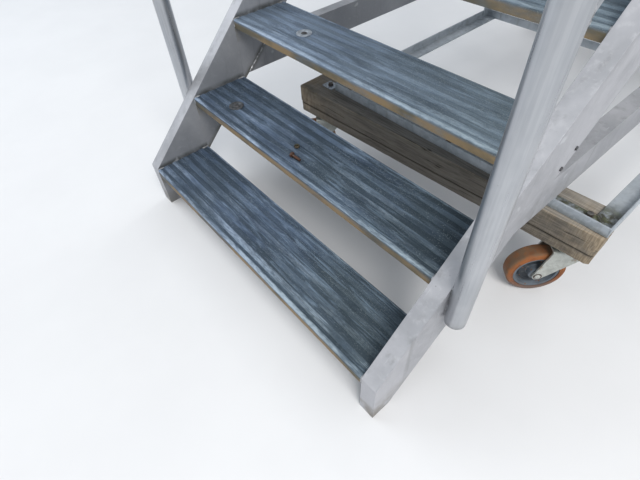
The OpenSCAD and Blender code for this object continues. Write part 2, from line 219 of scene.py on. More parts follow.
def outline_rounded(corners, radius, steps=4):
    """A polygon whose corners are eased by curves (1 - t)^2 start + 2 t (1 - t) corner + t^2 end."""
    corners = np.array(corners, float)
    rounded = []
    for before, corner, after in zip(np.roll(corners, 1, 0), corners, np.roll(corners, -1, 0)):
        back = (before - corner) / np.linalg.norm(before - corner)
        on = (after - corner) / np.linalg.norm(after - corner)
        half = math.acos(np.clip(back @ on, -1, 1)) / 2
        reach = radius / math.tan(half)
        t = np.linspace(0, 1, steps + 1)[:, None]
        start = corner + back * reach
        end = corner + on * reach
        rounded.append((1 - t) ** 2 * start + 2 * t * (1 - t) * corner + t ** 2 * end)
    return np.concatenate(rounded)


def plate(outline, thickness, edge=0.6 * MM):
    """A flat plate on z = 0: its outline carried up in four rows, the edges drawn in for a small round."""
    outline = np.array(outline, float)
    inward = outline.mean(0) - outline
    inward /= np.linalg.norm(inward, axis=1)[:, None]
    rows = [np.column_stack([outline + inward * inset, np.full(len(outline), z)])
            for inset, z in ((edge, 0), (0, edge), (0, thickness - edge), (edge, thickness))]
    cap = [list(face) for face in tessellate_polygon([[(x, y, 0) for x, y in outline]])]
    sides = quads(4, len(outline), round_columns=True)
    return np.concatenate(rows), sides + cap + shifted(cap, 3 * len(outline))


def piece(name, shells, finish, body="frame", stands_for=(), sharp=38, marks=None,
          weld=True):
    """One piece from its shells: doubles merged, faces turned outwards, edges over an angle kept sharp."""
    points, faces = joined(shells)
    mesh = bpy.data.meshes.new(name)
    mesh.from_pydata(points, [], faces)
    for mark, values in (marks or {}).items():
        mesh.attributes.new(mark, "FLOAT", "POINT").data.foreach_set("value", np.asarray(values, np.float32))
    work = bmesh.new()
    work.from_mesh(mesh)
    if weld:
        bmesh.ops.remove_doubles(work, verts=work.verts, dist=1e-6)
    bmesh.ops.recalc_face_normals(work, faces=work.faces)
    work.to_mesh(mesh)
    work.free()
    mesh.shade_smooth()
    mesh.set_sharp_from_angle(angle=math.radians(sharp))
    mesh.materials.append(finish)
    made = bpy.data.objects.new(name, mesh)
    scene.collection.objects.link(made)
    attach(made, body)
    if stands_for:
        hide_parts(*stands_for)


# Finishes: each is a material mixed from a few patterns on the piece's own coordinates

class Recipe:
    """A material being mixed: short calls add nodes and return sockets, and coats change its colour."""

    def __init__(self, name):
        self.made = bpy.data.materials.new(name)
        self.made.use_nodes = True
        self.tree = self.made.node_tree
        self.shader = self.tree.nodes["Principled BSDF"]
        source = self.add("ShaderNodeTexCoord")
        self.place = source.outputs["Object"]
        self.facing = source.outputs["Normal"]
        self.colour = None

    def add(self, kind, values=None, **settings):
        """Adds a node with its settings, and sets or links its inputs."""
        node = self.tree.nodes.new(kind)
        for key, value in settings.items():
            setattr(node, key, value)
        for key, value in (values or {}).items():
            self.feed(node.inputs[key], value)
        return node

    def feed(self, socket, value):
        """Links a socket to another, or sets its plain value."""
        if isinstance(value, bpy.types.NodeSocket):
            self.tree.links.new(value, socket)
        elif socket.type == "RGBA":
            socket.default_value = (*value, 1.0)
        else:
            socket.default_value = value

    def axis(self, letter, vector=None):
        """One coordinate of the place, or of another vector."""
        return self.add("ShaderNodeSeparateXYZ", {0: vector or self.place}).outputs[letter]

    def noise(self, scale, detail=4.0, rough=0.6, twist=0.0, stretch=(1, 1, 1)):
        """Cloudy pattern, drawn out along an axis whose stretch is small."""
        place = self.add("ShaderNodeMapping", {"Vector": self.place, "Scale": stretch}).outputs[0]
        values = {"Vector": place, "Scale": scale, "Detail": detail, "Roughness": rough, "Distortion": twist}
        return self.add("ShaderNodeTexNoise", values).outputs[0]

    def cells(self, scale, output="Distance"):
        """Cell pattern: the distance to the nearest cell's middle, or its colour."""
        return self.add("ShaderNodeTexVoronoi", {"Vector": self.place, "Scale": scale}).outputs[output]

    def ramp(self, value, low, high, start=0, end=1):
        """The value between two limits, spread smoothly from start to end."""
        values = {"Value": value, "From Min": low, "From Max": high, "To Min": start, "To Max": end}
        return self.add("ShaderNodeMapRange", values, interpolation_type="SMOOTHSTEP").outputs[0]

    def calc(self, operation, one, two=0.0):
        """Arithmetic on two values."""
        return self.add("ShaderNodeMath", {0: one, 1: two}, operation=operation).outputs[0]

    def times(self, first, *others):
        """The product of several values."""
        for value in others:
            first = self.calc("MULTIPLY", first, value)
        return first

    def less(self, one, two):
        """One value less another."""
        return self.calc("SUBTRACT", one, two)

    def gap(self, one, two=0.0):
        """How far apart two values are."""
        return self.calc("ABSOLUTE", self.less(one, two))

    def blend(self, share, under, over, kind="MIX"):
        """One colour over another by a share."""
        node = self.add("ShaderNodeMix", data_type="RGBA", blend_type=kind)
        for key, value in ((0, share), (6, under), (7, over)):
            self.feed(node.inputs[key], value)
        return node.outputs[2]

    def pair(self, dark, light, pattern, low=0.34, high=0.66):
        """Two colours shared out by a pattern, which blends them between its limits."""
        return self.blend(self.ramp(pattern, low, high), dark, light)

    def coat(self, colour, *shares, kind="MIX"):
        """Lays a colour over the material's colour, by the product of its shares."""
        self.colour = self.blend(self.times(*shares), self.colour, colour, kind)

    def mark(self, name):
        """A value painted on the piece's points."""
        return self.add("ShaderNodeAttribute", attribute_name=name).outputs["Fac"]

    def done(self, roughness, relief=(), metallic=0.0, rounding=None):
        """Feeds the shader. Relief rows are height, strength and depth. Rounding softens edges."""
        for key, value in (("Base Color", self.colour), ("Roughness", roughness), ("Metallic", metallic)):
            self.feed(self.shader.inputs[key], value)
        normal = None
        if rounding:
            normal = self.add("ShaderNodeBevel", {"Radius": rounding}, samples=4).outputs[0]
        for height, strength, depth in relief:
            node = self.add("ShaderNodeBump", {"Height": height, "Strength": strength, "Distance": depth})
            if normal:
                self.feed(node.inputs["Normal"], normal)
            normal = node.outputs[0]
        if normal:
            self.feed(self.shader.inputs["Normal"], normal)
        return self.made


def tread_finish():
    """Weathered tread aluminium: blue-grey oxide, dark grooves, rubbed ribs and a dirty nosing."""
    mix = Recipe("weathered_tread_aluminium")
    wear = mix.mark("wear")
    grime = mix.mark("grime")
    streaks = mix.noise(26, 6, 0.66, 0.6, stretch=(0.16, 1, 1))
    clouds = mix.noise(5, stretch=(0.7, 1, 1))
    fine = mix.noise(240, 4, 0.7, stretch=(0.22, 1, 1))
    grain = mix.noise(620, 3, 0.7, stretch=(0.5, 1, 1))
    brushed = mix.noise(95, 4, 0.7, 0.8, stretch=(0.07, 1, 1))
    patch = mix.noise(15, 5, 0.7, 1.2, stretch=(0.13, 1, 1))
    regions = mix.noise(3.4, 3)
    mix.colour = mix.pair((0.034, 0.057, 0.100), (0.102, 0.153, 0.248), streaks, 0.36, 0.66)
    mix.coat((0.058, 0.083, 0.101), mix.ramp(clouds, 0.38, 0.66, 0, 0.6))
    mix.coat((0.030, 0.049, 0.074), mix.ramp(grime, 0.1, 0.45, 0, 0.95), mix.ramp(regions, 0.62, 0.40, 0.55))
    mix.coat((0.205, 0.285, 0.410), mix.ramp(brushed, 0.50, 0.66, 0, 0.70),
             mix.ramp(regions, 0.40, 0.58, 0.25))
    # Bare metal where feet rub the ribs and the nosing, and a paler film from the third tread up
    scuffed = mix.times(mix.ramp(wear, 0.2, 0.85), mix.ramp(patch, 0.42, 0.60, 0.08),
                        mix.ramp(regions, 0.36, 0.56, 0.35), mix.ramp(fine, 0.36, 0.60, 0.25))
    mix.coat(mix.pair((0.24, 0.305, 0.40), (0.52, 0.63, 0.79), streaks, 0.3, 0.7), scuffed)
    upper = mix.ramp(mix.axis("Z"), nosing_z + 1.1 * rise, nosing_z + 1.9 * rise, 0, 0.40)
    mix.coat((0.255, 0.325, 0.415), upper, mix.ramp(streaks, 0.30, 0.60, 0.5))
    mix.coat((0.46, 0.56, 0.70), mix.ramp(wear, 0.86, 1), mix.ramp(patch, 0.42, 0.68, 0.10, 0.95),
             mix.ramp(fine, 0.3, 0.6, 0.45))
    # Chalk, pale dots, a browner right end and soil in the grooves
    mix.coat((0.36, 0.44, 0.52), mix.ramp(mix.cells(230), 0.14, 0.30, 1, 0),
             mix.ramp(mix.noise(30), 0.42, 0.62), 0.5)
    mix.coat((0.38, 0.44, 0.49), mix.ramp(grain, 0.56, 0.68), mix.ramp(regions, 0.36, 0.60, 0.3), 0.6)
    side = mix.ramp(mix.axis("X"), clear_left + 0.2 * clear_width, clear_right, 0, 0.85)
    mix.coat((0.80, 0.80, 0.70), side, kind="MULTIPLY")
    soils = mix.noise(11, stretch=(0.5, 1, 1))
    clots = mix.noise(34, 5, stretch=(0.25, 1, 1))
    mix.coat(mix.pair((0.110, 0.098, 0.066), (0.250, 0.180, 0.098), soils, 0.40, 0.60),
             mix.ramp(grime, 0.58, 0.9), mix.ramp(clots, 0.30, 0.56, 0.40))
    rough = mix.ramp(mix.calc("ADD", scuffed, mix.times(fine, 0.3)), 0.1, 1.1, 0.78, 0.52)
    relief = ((fine, 0.3, 0.5 * MM), (streaks, 0.2, 1.0 * MM))
    return mix.done(rough, relief, metallic=mix.ramp(grime, 0.2, 0.9, 0.30, 0))


def stringer_finish():
    """Dull structural aluminium: pale lavender grey, water runs, stains, low grime, fine scratches and
    painted shade where the treads meet it.
    """
    mix = Recipe("dull_structural_aluminium")
    clouds = mix.noise(4.5, 5, 0.6, 0.3)
    runs = mix.noise(34, 5, stretch=(1, 1, 0.07))
    mottle = mix.noise(48, 5, 0.7)
    mix.colour = mix.pair((0.330, 0.338, 0.362), (0.470, 0.475, 0.505), clouds)
    mix.coat((0.235, 0.240, 0.245), mix.ramp(runs, 0.52, 0.74, 0, 0.55))
    mix.coat((0.560, 0.565, 0.590), mix.ramp(mottle, 0.50, 0.72, 0, 0.45))
    mix.coat((0.165, 0.140, 0.105), mix.ramp(mix.axis("Z"), 0.11, 0), mix.ramp(mix.noise(20), 0.36, 0.66),
             0.75)
    mix.coat((0.10, 0.09, 0.08), mix.ramp(mix.cells(55), 0.05, 0.12, 1, 0),
             mix.ramp(mix.noise(11), 0.56, 0.66), 0.7)
    # Dirt under each tread's end, painted shade in a band where each tread's top meets the inner face, and
    # dirt along the stringer's lower edge where the side rail joins it
    back = mix.less(mix.axis("Y"), nosing_y)
    up = mix.less(mix.axis("Z"), nosing_z)
    step = mix.times(mix.calc("FLOOR", mix.calc("DIVIDE", back, going)), rise)
    over = mix.less(up, step)
    smear_and_shade_patches = mix.ramp(mix.noise(26, 5), 0.30, 0.60, 0.25)
    beneath = mix.times(mix.ramp(over, -0.085, -nose_height, 0, 0.85), mix.ramp(over, 0, -0.010))
    # Painted shade: a dark band from just under to just over each tread's top, on the stringer's inner face
    shade_over_tread = mix.times(mix.ramp(over, 0.020, 0.003), mix.ramp(over, -0.010, 0))
    sideways = mix.ramp(mix.gap(mix.axis("X", mix.facing)), 0.6, 0.9)
    away = mix.less(mix.gap(mix.axis("X"), (clear_left + clear_right) / 2), clear_width / 2)
    inner = mix.times(sideways, mix.ramp(away, 2 * MM, 1 * MM))
    mix.coat((0.135, 0.152, 0.170), inner, 0.45)
    mix.coat((0.150, 0.130, 0.088), beneath, smear_and_shade_patches, inner)
    mix.coat((0.085, 0.090, 0.090), shade_over_tread, smear_and_shade_patches, inner)
    drop = mix.less(mix.times(back, rise / going), up)
    seam = mix.ramp(mix.gap(drop, STRINGER_DROP), 0.026, 0)
    mix.coat((0.095, 0.090, 0.072), seam, smear_and_shade_patches, mix.ramp(up, 0.33, 0.28), inner, 0.85)
    mix.coat((0.68, 0.70, 0.73), mix.ramp(mix.noise(300, 2, stretch=(1, 0.05, 0.05)), 0.70, 0.76), 0.4)
    rough = mix.ramp(mottle, 0.3, 0.7, 0.44, 0.64)
    relief = ((mottle, 0.12, 0.6 * MM), (clouds, 0.15, 2 * MM))
    return mix.done(rough, relief, metallic=0.35, rounding=1.6 * MM)


def rail_finish():
    """Drawn aluminium tube: fine lines along it, a dull satin skin, oxide clouds, small dark nicks and warm
    tan streaks up it painted as reflections.
    """
    mix = Recipe("drawn_rail_aluminium")
    drawn = mix.noise(190, 3, stretch=(1, 1, 0.03))
    clouds = mix.noise(5, 5, 0.62, stretch=(1, 1, 0.5))
    nicks = mix.times(mix.ramp(mix.cells(60), 0.05, 0.10, 1, 0), mix.ramp(mix.noise(9), 0.55, 0.62))
    mix.colour = mix.pair((0.372, 0.390, 0.418), (0.500, 0.515, 0.540), clouds)
    mix.coat((0.640, 0.655, 0.675), mix.ramp(drawn, 0.40, 0.68, 0, 0.26))
    mix.coat((0.16, 0.15, 0.14), nicks, 0.7)
    # Painted reflection: warm dark-tan streaks along z stand in for the warm ground mirrored in the tube
    mix.coat((0.290, 0.270, 0.240), mix.ramp(mix.noise(22, stretch=(1, 1, 0.12)), 0.60, 0.76, 0, 0.4))
    relief = ((drawn, 0.05, 0.2 * MM), (nicks, 0.3, 0.4 * MM))
    return mix.done(mix.ramp(drawn, 0.3, 0.7, 0.27, 0.36), relief, metallic=0.88)


def galvanised_finish():
    """Aged galvanised angle: pale blue grey with a faint spangle, and moss in its front right corner."""
    mix = Recipe("aged_galvanised_steel")
    spangle = mix.axis("X", mix.cells(75, "Color"))
    clouds = mix.noise(6, 5)
    mix.colour = mix.pair((0.330, 0.370, 0.410), (0.420, 0.465, 0.510), spangle, 0.1, 0.9)
    mix.coat((0.540, 0.580, 0.620), mix.ramp(clouds, 0.40, 0.66, 0, 0.8))
    mix.coat((0.22, 0.22, 0.205), mix.ramp(mix.noise(40, stretch=(1, 1, 0.10)), 0.58, 0.76, 0, 0.45))
    low_down = mix.ramp(mix.less(mix.axis("Z"), base_low[2]), 16 * MM, 6 * MM)
    upward = mix.ramp(mix.axis("Z", mix.facing), 0.3, 0.8, 0.35)
    aside = mix.less(base_high[0] - 30 * MM, mix.axis("X"))
    behind = mix.less(mix.axis("Y"), base_low[1] + 30 * MM)
    moss = mix.times(low_down, upward, mix.ramp(aside, 0.40, 0.04, 0.10), mix.ramp(behind, 0.11, 0.03, 0.06),
                     mix.ramp(mix.noise(46, 5), 0.32, 0.56, 0.3))
    mix.coat(mix.pair((0.060, 0.058, 0.040), (0.105, 0.112, 0.060), mix.noise(60), 0.4, 0.6), moss)
    mix.coat((0.24, 0.115, 0.055), mix.ramp(mix.noise(14), 0.64, 0.74),
             mix.ramp(mix.noise(90), 0.45, 0.62), 0.7)
    relief = ((mix.noise(70), 0.15, 0.8 * MM), (moss, 0.5, 1 * MM))
    return mix.done(mix.ramp(clouds, 0.3, 0.7, 0.42, 0.68), relief, metallic=0.35, rounding=1.2 * MM)


def timber_finish():
    """Weathered sawn timber: fibres along x, a top painted paler grey as lit from above, tan where rubbed and
    saw marks at its ends.
    """
    mix = Recipe("weathered_timber")
    grain = mix.noise(58, 6, 0.66, 0.5, stretch=(0.045, 1, 1))
    fibre = mix.noise(320, 3, stretch=(0.03, 1, 1))
    saw = mix.noise(330, 2, 0.5, stretch=(1, 0.02, 0.10))
    checks = mix.ramp(mix.noise(110, 2, 0.5, 0.9, stretch=(0.035, 1, 1)), 0.66, 0.72)
    mix.colour = mix.pair((0.060, 0.054, 0.046), (0.140, 0.126, 0.106), grain)
    mix.coat((0.185, 0.172, 0.152), mix.ramp(fibre, 0.38, 0.66, 0, 0.6))
    # Painted light: faces turned up are paler, as lit from above
    sky_lit_top_grey = mix.pair((0.205, 0.192, 0.172), (0.360, 0.342, 0.312), fibre)
    mix.coat(sky_lit_top_grey, mix.ramp(mix.axis("Z", mix.facing), 0.4, 0.9), mix.ramp(grain, 0.36, 0.60, 0.45, 0.95))
    tan = mix.pair((0.270, 0.205, 0.130), (0.430, 0.345, 0.240), saw, 0.40, 0.62)
    mix.coat(tan, mix.mark("wear"), mix.ramp(mix.noise(18), 0.36, 0.56, 0.30), 0.85)
    mix.coat((0.028, 0.022, 0.017), checks)
    mix.coat((0.085, 0.078, 0.062), mix.ramp(mix.noise(7, stretch=(0.5, 1, 1)), 0.56, 0.72, 0, 0.5))
    joint = mix.gap(mix.axis("Z"), JOINT_Z)
    mix.coat((0.030, 0.025, 0.020), mix.ramp(joint, 5 * MM, 0.5 * MM), 0.75)
    height = mix.less(mix.calc("ADD", grain, mix.times(fibre, 0.6)), checks)
    return mix.done(mix.ramp(fibre, 0.3, 0.7, 0.78, 0.95), ((height, 0.55, 1.4 * MM),))


def zinc_finish():
    """Zinc-plated pressing gone dull: grey with a faint yellow cast, darker in spots, rust at worn places."""
    mix = Recipe("dull_zinc_plate")
    clouds = mix.noise(28, 5, 0.65)
    rust = mix.times(mix.ramp(mix.noise(36, 5, stretch=(1, 1, 0.6)), 0.58, 0.70), 0.5)
    mix.colour = mix.pair((0.370, 0.385, 0.360), (0.540, 0.560, 0.530), clouds)
    mix.coat((0.180, 0.176, 0.156), mix.ramp(mix.noise(130), 0.56, 0.70, 0, 0.45))
    mix.coat(mix.pair((0.120, 0.070, 0.042), (0.265, 0.160, 0.085), mix.noise(160), 0.4, 0.6), rust)
    rough = mix.ramp(mix.calc("ADD", clouds, rust), 0.3, 1.1, 0.38, 0.8)
    relief = ((mix.noise(220), 0.12, 0.4 * MM), (rust, 0.4, 0.4 * MM))
    return mix.done(rough, relief, metallic=0.55, rounding=1.0 * MM)


def tyre_finish():
    """Worn orange tyre: deep dusty orange, browned on the tread, with floor dirt low down and splashes."""
    mix = Recipe("worn_orange_tyre")
    clouds = mix.noise(26, 5, 0.62)
    mix.colour = mix.pair((0.200, 0.058, 0.014), (0.310, 0.104, 0.027), clouds)
    mix.coat((0.205, 0.110, 0.045), mix.ramp(mix.noise(9, 5, 0.7), 0.42, 0.66, 0.05, 0.60))
    mix.coat((0.150, 0.098, 0.058), mix.mark("wear"), mix.ramp(mix.noise(40, 5), 0.36, 0.62, 0.30, 0.90))
    low_down = mix.ramp(mix.axis("Z"), 0.085, 0.010)
    mix.coat((0.140, 0.115, 0.105), low_down, mix.ramp(mix.noise(30, 5), 0.32, 0.56, 0.5), 0.85)
    mix.coat((0.105, 0.078, 0.056), mix.ramp(mix.noise(110), 0.56, 0.70, 0, 0.6))
    relief = ((mix.noise(150), 0.3, 0.5 * MM), (clouds, 0.2, 1.0 * MM))
    return mix.done(mix.ramp(clouds, 0.3, 0.7, 0.62, 0.88), relief)


def hub_finish():
    """Cast iron hub under old dark blue-grey paint: grainy, darker in its web, dusty and chipped to rust."""
    mix = Recipe("painted_iron_hub")
    clouds = mix.noise(24, 5)
    chips = mix.ramp(mix.noise(80, 5), 0.62, 0.67)
    mix.colour = mix.pair((0.085, 0.105, 0.130), (0.150, 0.178, 0.208), clouds)
    mix.coat((0.022, 0.027, 0.034), mix.mark("web"), 0.85)
    mix.coat((0.170, 0.165, 0.155), mix.ramp(mix.noise(60), 0.52, 0.70, 0, 0.5))
    mix.coat((0.190, 0.082, 0.036), chips)
    relief = ((mix.noise(180, 4, 0.65), 0.35, 0.5 * MM), (chips, 0.3, 0.3 * MM))
    return mix.done(mix.ramp(clouds, 0.3, 0.7, 0.5, 0.78), relief, metallic=0.2)


def rubber_finish():
    """Weathered black rubber: greyed, with pale scuffs along the outer face and dust above."""
    mix = Recipe("weathered_rubber")
    clouds = mix.noise(12, 5, stretch=(0.6, 1, 1))
    scuffs = mix.noise(60, 5, 0.7, 0.6, stretch=(0.12, 1, 1))
    upward = mix.ramp(mix.axis("Z", mix.facing), 0.2, 0.9)
    mix.colour = mix.pair((0.024, 0.024, 0.025), (0.052, 0.052, 0.053), clouds)
    mix.coat((0.165, 0.163, 0.158), mix.ramp(scuffs, 0.60, 0.74, 0, 0.45))
    mix.coat((0.200, 0.190, 0.172), upward, mix.ramp(mix.noise(30), 0.3, 0.7), 0.6)
    return mix.done(mix.ramp(clouds, 0.3, 0.7, 0.62, 0.86), ((mix.noise(190), 0.2, 0.4 * MM),))


def steel_finish(name, dark, light, rust_share, metallic=0.6):
    """Bolt steel: two greys in clouds, with rust creeping over by a share."""
    mix = Recipe(name)
    rust = mix.times(mix.ramp(mix.noise(95, 5), 0.40, 0.62), rust_share)
    mix.colour = mix.pair(dark, light, mix.noise(120))
    mix.coat(mix.pair((0.060, 0.022, 0.012), (0.150, 0.056, 0.024), mix.noise(400), 0.4, 0.6), rust)
    return mix.done(mix.ramp(rust, 0, 1, 0.40, 0.85), ((mix.noise(500), 0.25, 0.25 * MM),), metallic)


def weld_finish():
    """Aluminium weld: pale ripples with sooty edges."""
    mix = Recipe("aluminium_weld")
    soot = mix.noise(90, 5)
    mix.colour = mix.pair((0.215, 0.220, 0.230), (0.520, 0.530, 0.550), soot, 0.40, 0.66)
    return mix.done(mix.ramp(soot, 0.3, 0.7, 0.62, 0.38), ((mix.noise(400), 0.2, 0.3 * MM),), metallic=0.6)


treads_aluminium = tread_finish()
structure_aluminium = stringer_finish()
rail_aluminium = rail_finish()
galvanised = galvanised_finish()
timber = timber_finish()
zinc = zinc_finish()
orange_tyre = tyre_finish()
painted_iron = hub_finish()
rubber = rubber_finish()
bolt_steel = steel_finish("aged_bolt_steel", (0.075, 0.074, 0.072), (0.205, 0.200, 0.190), 0.45)
bright_steel = steel_finish("pale_washer_steel", (0.330, 0.370, 0.420), (0.560, 0.620, 0.690), 0.10)
rusty_steel = steel_finish("rusty_steel", (0.040, 0.022, 0.016), (0.082, 0.038, 0.024), 0.45, 0.1)
olive_steel = steel_finish("olive_steel", (0.030, 0.032, 0.022), (0.075, 0.070, 0.045), 0.25, 0.1)
dark_steel = steel_finish("dark_washer_steel", (0.060, 0.066, 0.072), (0.135, 0.145, 0.155), 0.15)
# Painted shade: a near-black finish for the bar that stands in for a screw slot's shaded inside
dark_recess = steel_finish("dark_recess", (0.014, 0.014, 0.015), (0.035, 0.034, 0.032), 0.2, 0.0)
weld_metal = weld_finish()

# Each finish with the starts of the names of the kept nodes that wear it
NODE_FINISHES = (
    (structure_aluminium, ("stringer", "side_rail", "leg", "brace", "cross_tubes", "platform_frame")),
    (rail_aluminium, ("handrail", "guard_rail")),
    (zinc, ("caster_plates",)))
for node_name, node in nodes.items():
    for finish, starts in NODE_FINISHES:
        if node_name.startswith(starts):
            node.data.materials.clear()
            node.data.materials.append(finish)


# Treads and deck

# A plank's section: hollow nosing, ribs cut into teeth, back lip, and webs with turned feet
SHEET = 3.5 * MM
NOSE_WIDTH = 12 * MM
LIP_WIDTH = 6 * MM
WEB_FOOT = 14 * MM
RIB_HEIGHT = 1.5 * MM
RIB_START = 20 * MM
RIB_WIDTH = 18 * MM
RIB_PITCH = 35 * MM
RIB_TEETH = 5
TOOTH_DEPTH = 0.7 * MM
rib_count = 1 + int((plank_depth - LIP_WIDTH - RIB_START - RIB_WIDTH) / RIB_PITCH)


def plank_section():
    """Outline of a plank as back and height, with its wear and grime, and the loop of the hollow nosing.

    Each rib's crown is cut into teeth: height = -depth (1 - cos(2 pi teeth t)) / 2 for t from 0 to 1."""
    radius = 3 * MM
    rows = [(0, -nose_height, 0.1, 0.9), (0, -nose_height * 0.55, 0.1, 1.0), (0, -radius * 1.6, 0.5, 0.6)]
    rows += [(radius + radius * math.cos(a), -radius + radius * math.sin(a), 1.0, 0.0)
             for a in np.linspace(np.pi, np.pi / 2, 6)]
    rows += [(NOSE_WIDTH * 0.55, 0, 1.0, 0.0), (NOSE_WIDTH - 1.5 * MM, -0.1 * MM, 0.75, 0.0),
             (NOSE_WIDTH, -RIB_HEIGHT, 0.0, 0.55)]
    for number in range(rib_count):
        start = RIB_START + number * RIB_PITCH
        end = start + RIB_WIDTH
        trodden = max(1.08 - 0.18 * number, 0.45)
        rows += [(start - 2 * MM, -RIB_HEIGHT, 0.05, 0.40), (start, -RIB_HEIGHT, 0.0, 0.5)]
        for t in np.linspace(0, 1, RIB_TEETH * 4 + 1):
            valley = (1 - math.cos(2 * math.pi * RIB_TEETH * t)) / 2
            back = start + 0.8 * MM + t * (RIB_WIDTH - 1.6 * MM)
            rows.append((back, -TOOTH_DEPTH * valley, (0.85 - 0.55 * valley) * trodden, 0.12 * valley))
        rows += [(end, -RIB_HEIGHT, 0.0, 0.5), (end + 2 * MM, -RIB_HEIGHT, 0.05, 0.4)]
    lip = plank_depth - LIP_WIDTH
    under = -RIB_HEIGHT - SHEET
    foot_top = -nose_height + SHEET
    rows += [(lip, -RIB_HEIGHT, 0.0, 0.5), (lip + 0.6 * MM, -0.2 * MM, 0.7, 0.0),
             (plank_depth - 1 * MM, 0, 0.9, 0.0), (plank_depth, -0.6 * MM, 0.8, 0.0),
             (plank_depth, -nose_height, 0.2, 0.5), (plank_depth - WEB_FOOT, -nose_height, 0.1, 0.5),
             (plank_depth - WEB_FOOT, foot_top, 0.1, 0.5), (plank_depth - SHEET, foot_top, 0.1, 0.6),
             (plank_depth - SHEET, under, 0.0, 0.5)]
    for share in (2 / 3, 1 / 3):
        web = NOSE_WIDTH + share * (plank_depth - NOSE_WIDTH - SHEET)
        foot = web - WEB_FOOT / 2 + SHEET / 2
        line = [(web + SHEET, under), (web + SHEET, foot_top),
                (foot + WEB_FOOT, foot_top), (foot + WEB_FOOT, -nose_height),
                (foot, -nose_height), (foot, foot_top), (web, foot_top), (web, under)]
        rows += [(back, height, 0, 0.5) for back, height in line]
    rows += [(NOSE_WIDTH, under, 0, 0.5), (NOSE_WIDTH, -nose_height, 0, 0.6)]
    hollow = [(SHEET, foot_top), (NOSE_WIDTH - SHEET, foot_top), (NOSE_WIDTH - SHEET, under), (SHEET, under)]
    return np.array(rows), np.array(hollow)


def plank(left, right, front, top, seed, dent=1.1 * MM):
    """A plank's section carried along x, with its wear and grime.

    Height falls by soft dents at the nosing and slow waves along the ribs."""
    rows, hollow = plank_section()
    stations = np.linspace(left, right, 44)
    section = np.concatenate([rows[:, :2], hollow])
    count = len(section)
    x = np.repeat(stations, count)
    back, height = np.tile(section, (len(stations), 1)).T
    spots = np.column_stack([x, 0 * x, 0 * x])
    near_nose = np.exp(-((back / (9 * MM)) ** 2)) * (height > -6 * MM)
    knocks = np.clip(waves(spots, seed, (60 * MM, 1, 1)) - 0.55, 0, 1)
    knocks += 0.25 * np.clip(waves(spots, seed + 1, (17 * MM, 1, 1)), 0, 1)
    on_top = (height > -RIB_HEIGHT * 1.2) & (back > NOSE_WIDTH)
    worn = 0.25 * MM * (1 + waves(np.column_stack([x, back * 3, 0 * x]), seed + 2, (300 * MM, 40 * MM, 1)))
    height = height - dent * knocks * near_nose - np.where(on_top, worn, 0)
    points = np.column_stack([x, front + back, top + height])
    faces = []
    for first, size in ((0, len(rows)), (len(rows), len(hollow))):
        ring = np.arange(len(stations))[:, None] * count + first + np.arange(size)
        grid = np.stack([ring[:-1], ring[1:], np.roll(ring[1:], -1, 1), np.roll(ring[:-1], -1, 1)], -1)
        faces += grid.reshape(-1, 4).tolist()
    cap = tessellate_polygon([[(*point, 0) for point in loop] for loop in (rows[:, :2], hollow)])
    faces += shifted(cap, 0) + shifted(cap, len(points) - count)
    wear = np.tile(np.concatenate([rows[:, 2], np.zeros(len(hollow))]), len(stations))
    grime = np.tile(np.concatenate([rows[:, 3], np.full(len(hollow), 0.5)]), len(stations))
    return (points, faces), {"wear": wear, "grime": grime}


for number, name in enumerate(tread_names, 1):
    low, high = span(name)
    shell, marks = plank(low[0], high[0], low[1], high[2], 10 * number)
    piece(f"tread_plank_{number}", [shell], treads_aluminium, stands_for=(name,),
          marks=marks, weld=False, sharp=30)

deck_count = round((deck_high[1] - deck_low[1]) / plank_depth)
deck_pitch = (deck_high[1] - deck_low[1] - plank_depth) / (deck_count - 1)
deck_fronts = [deck_low[1] + number * deck_pitch for number in range(deck_count)]
deck_planks = [plank(deck_low[0], deck_high[0], front, deck_high[2], 200 + 10 * number, 0.3 * MM)
               for number, front in enumerate(deck_fronts)]
deck_marks = {mark: np.concatenate([marks[mark] for shell, marks in deck_planks])
              for mark in ("wear", "grime")}
piece("deck_planks", [shell for shell, marks in deck_planks], treads_aluminium,
      stands_for=("platform_deck",), marks=deck_marks, weld=False, sharp=30)


# Fixings on the treads

def cup_washer():
    """A dished ring washer: its section is a low wave carried round the axis."""
    profile = [(9.5, 0.2), (11, 0.4), (14, 1.2), (18, 2.6), (21, 2.9), (23.2, 2.0), (23.8, 0.2)]
    return lathe(np.array(profile) * MM, 48)


def screw_head():
    """A raised screw head: a low dome carried round the axis."""
    return lathe(np.array([(0, 1.8), (3, 1.7), (6, 1.3), (8.5, 0.5), (9.6, -0.4), (0, -0.4)]) * MM, 36)


def screw_slot():
    """A screw's slot as a thin bar of painted shade, near black, that stands a hair above its head."""
    corners = np.array([(-7.5, -0.9), (7.5, -0.9), (7.5, 0.9), (-7.5, 0.9)]) * MM
    return plate(outline_rounded(corners, 0.3 * MM), 1.0 * MM)


# Rows: tread, distance in from the left, distance back, ring finish, turn of the slot
WASHERS = ((2, 0.144, 0.074, dark_steel, 0.5), (3, 0.247, 0.088, bright_steel, 0.9))
for number, across, back, ring_finish, turn in WASHERS:
    spot = on_tread(number, across, back, -0.2 * MM)
    piece(f"ring_washer_{number}", [turned_to(cup_washer(), spot)], ring_finish)
    piece(f"washer_screw_{number}", [turned_to(screw_head(), spot + (0, 0, 0.6 * MM))], dark_steel)
    # The slot is a bar of painted shade laid over the screw head
    piece(f"washer_slot_{number}", [turned_to(screw_slot(), spot + (0, 0, 1.6 * MM), turn=turn)], dark_recess)


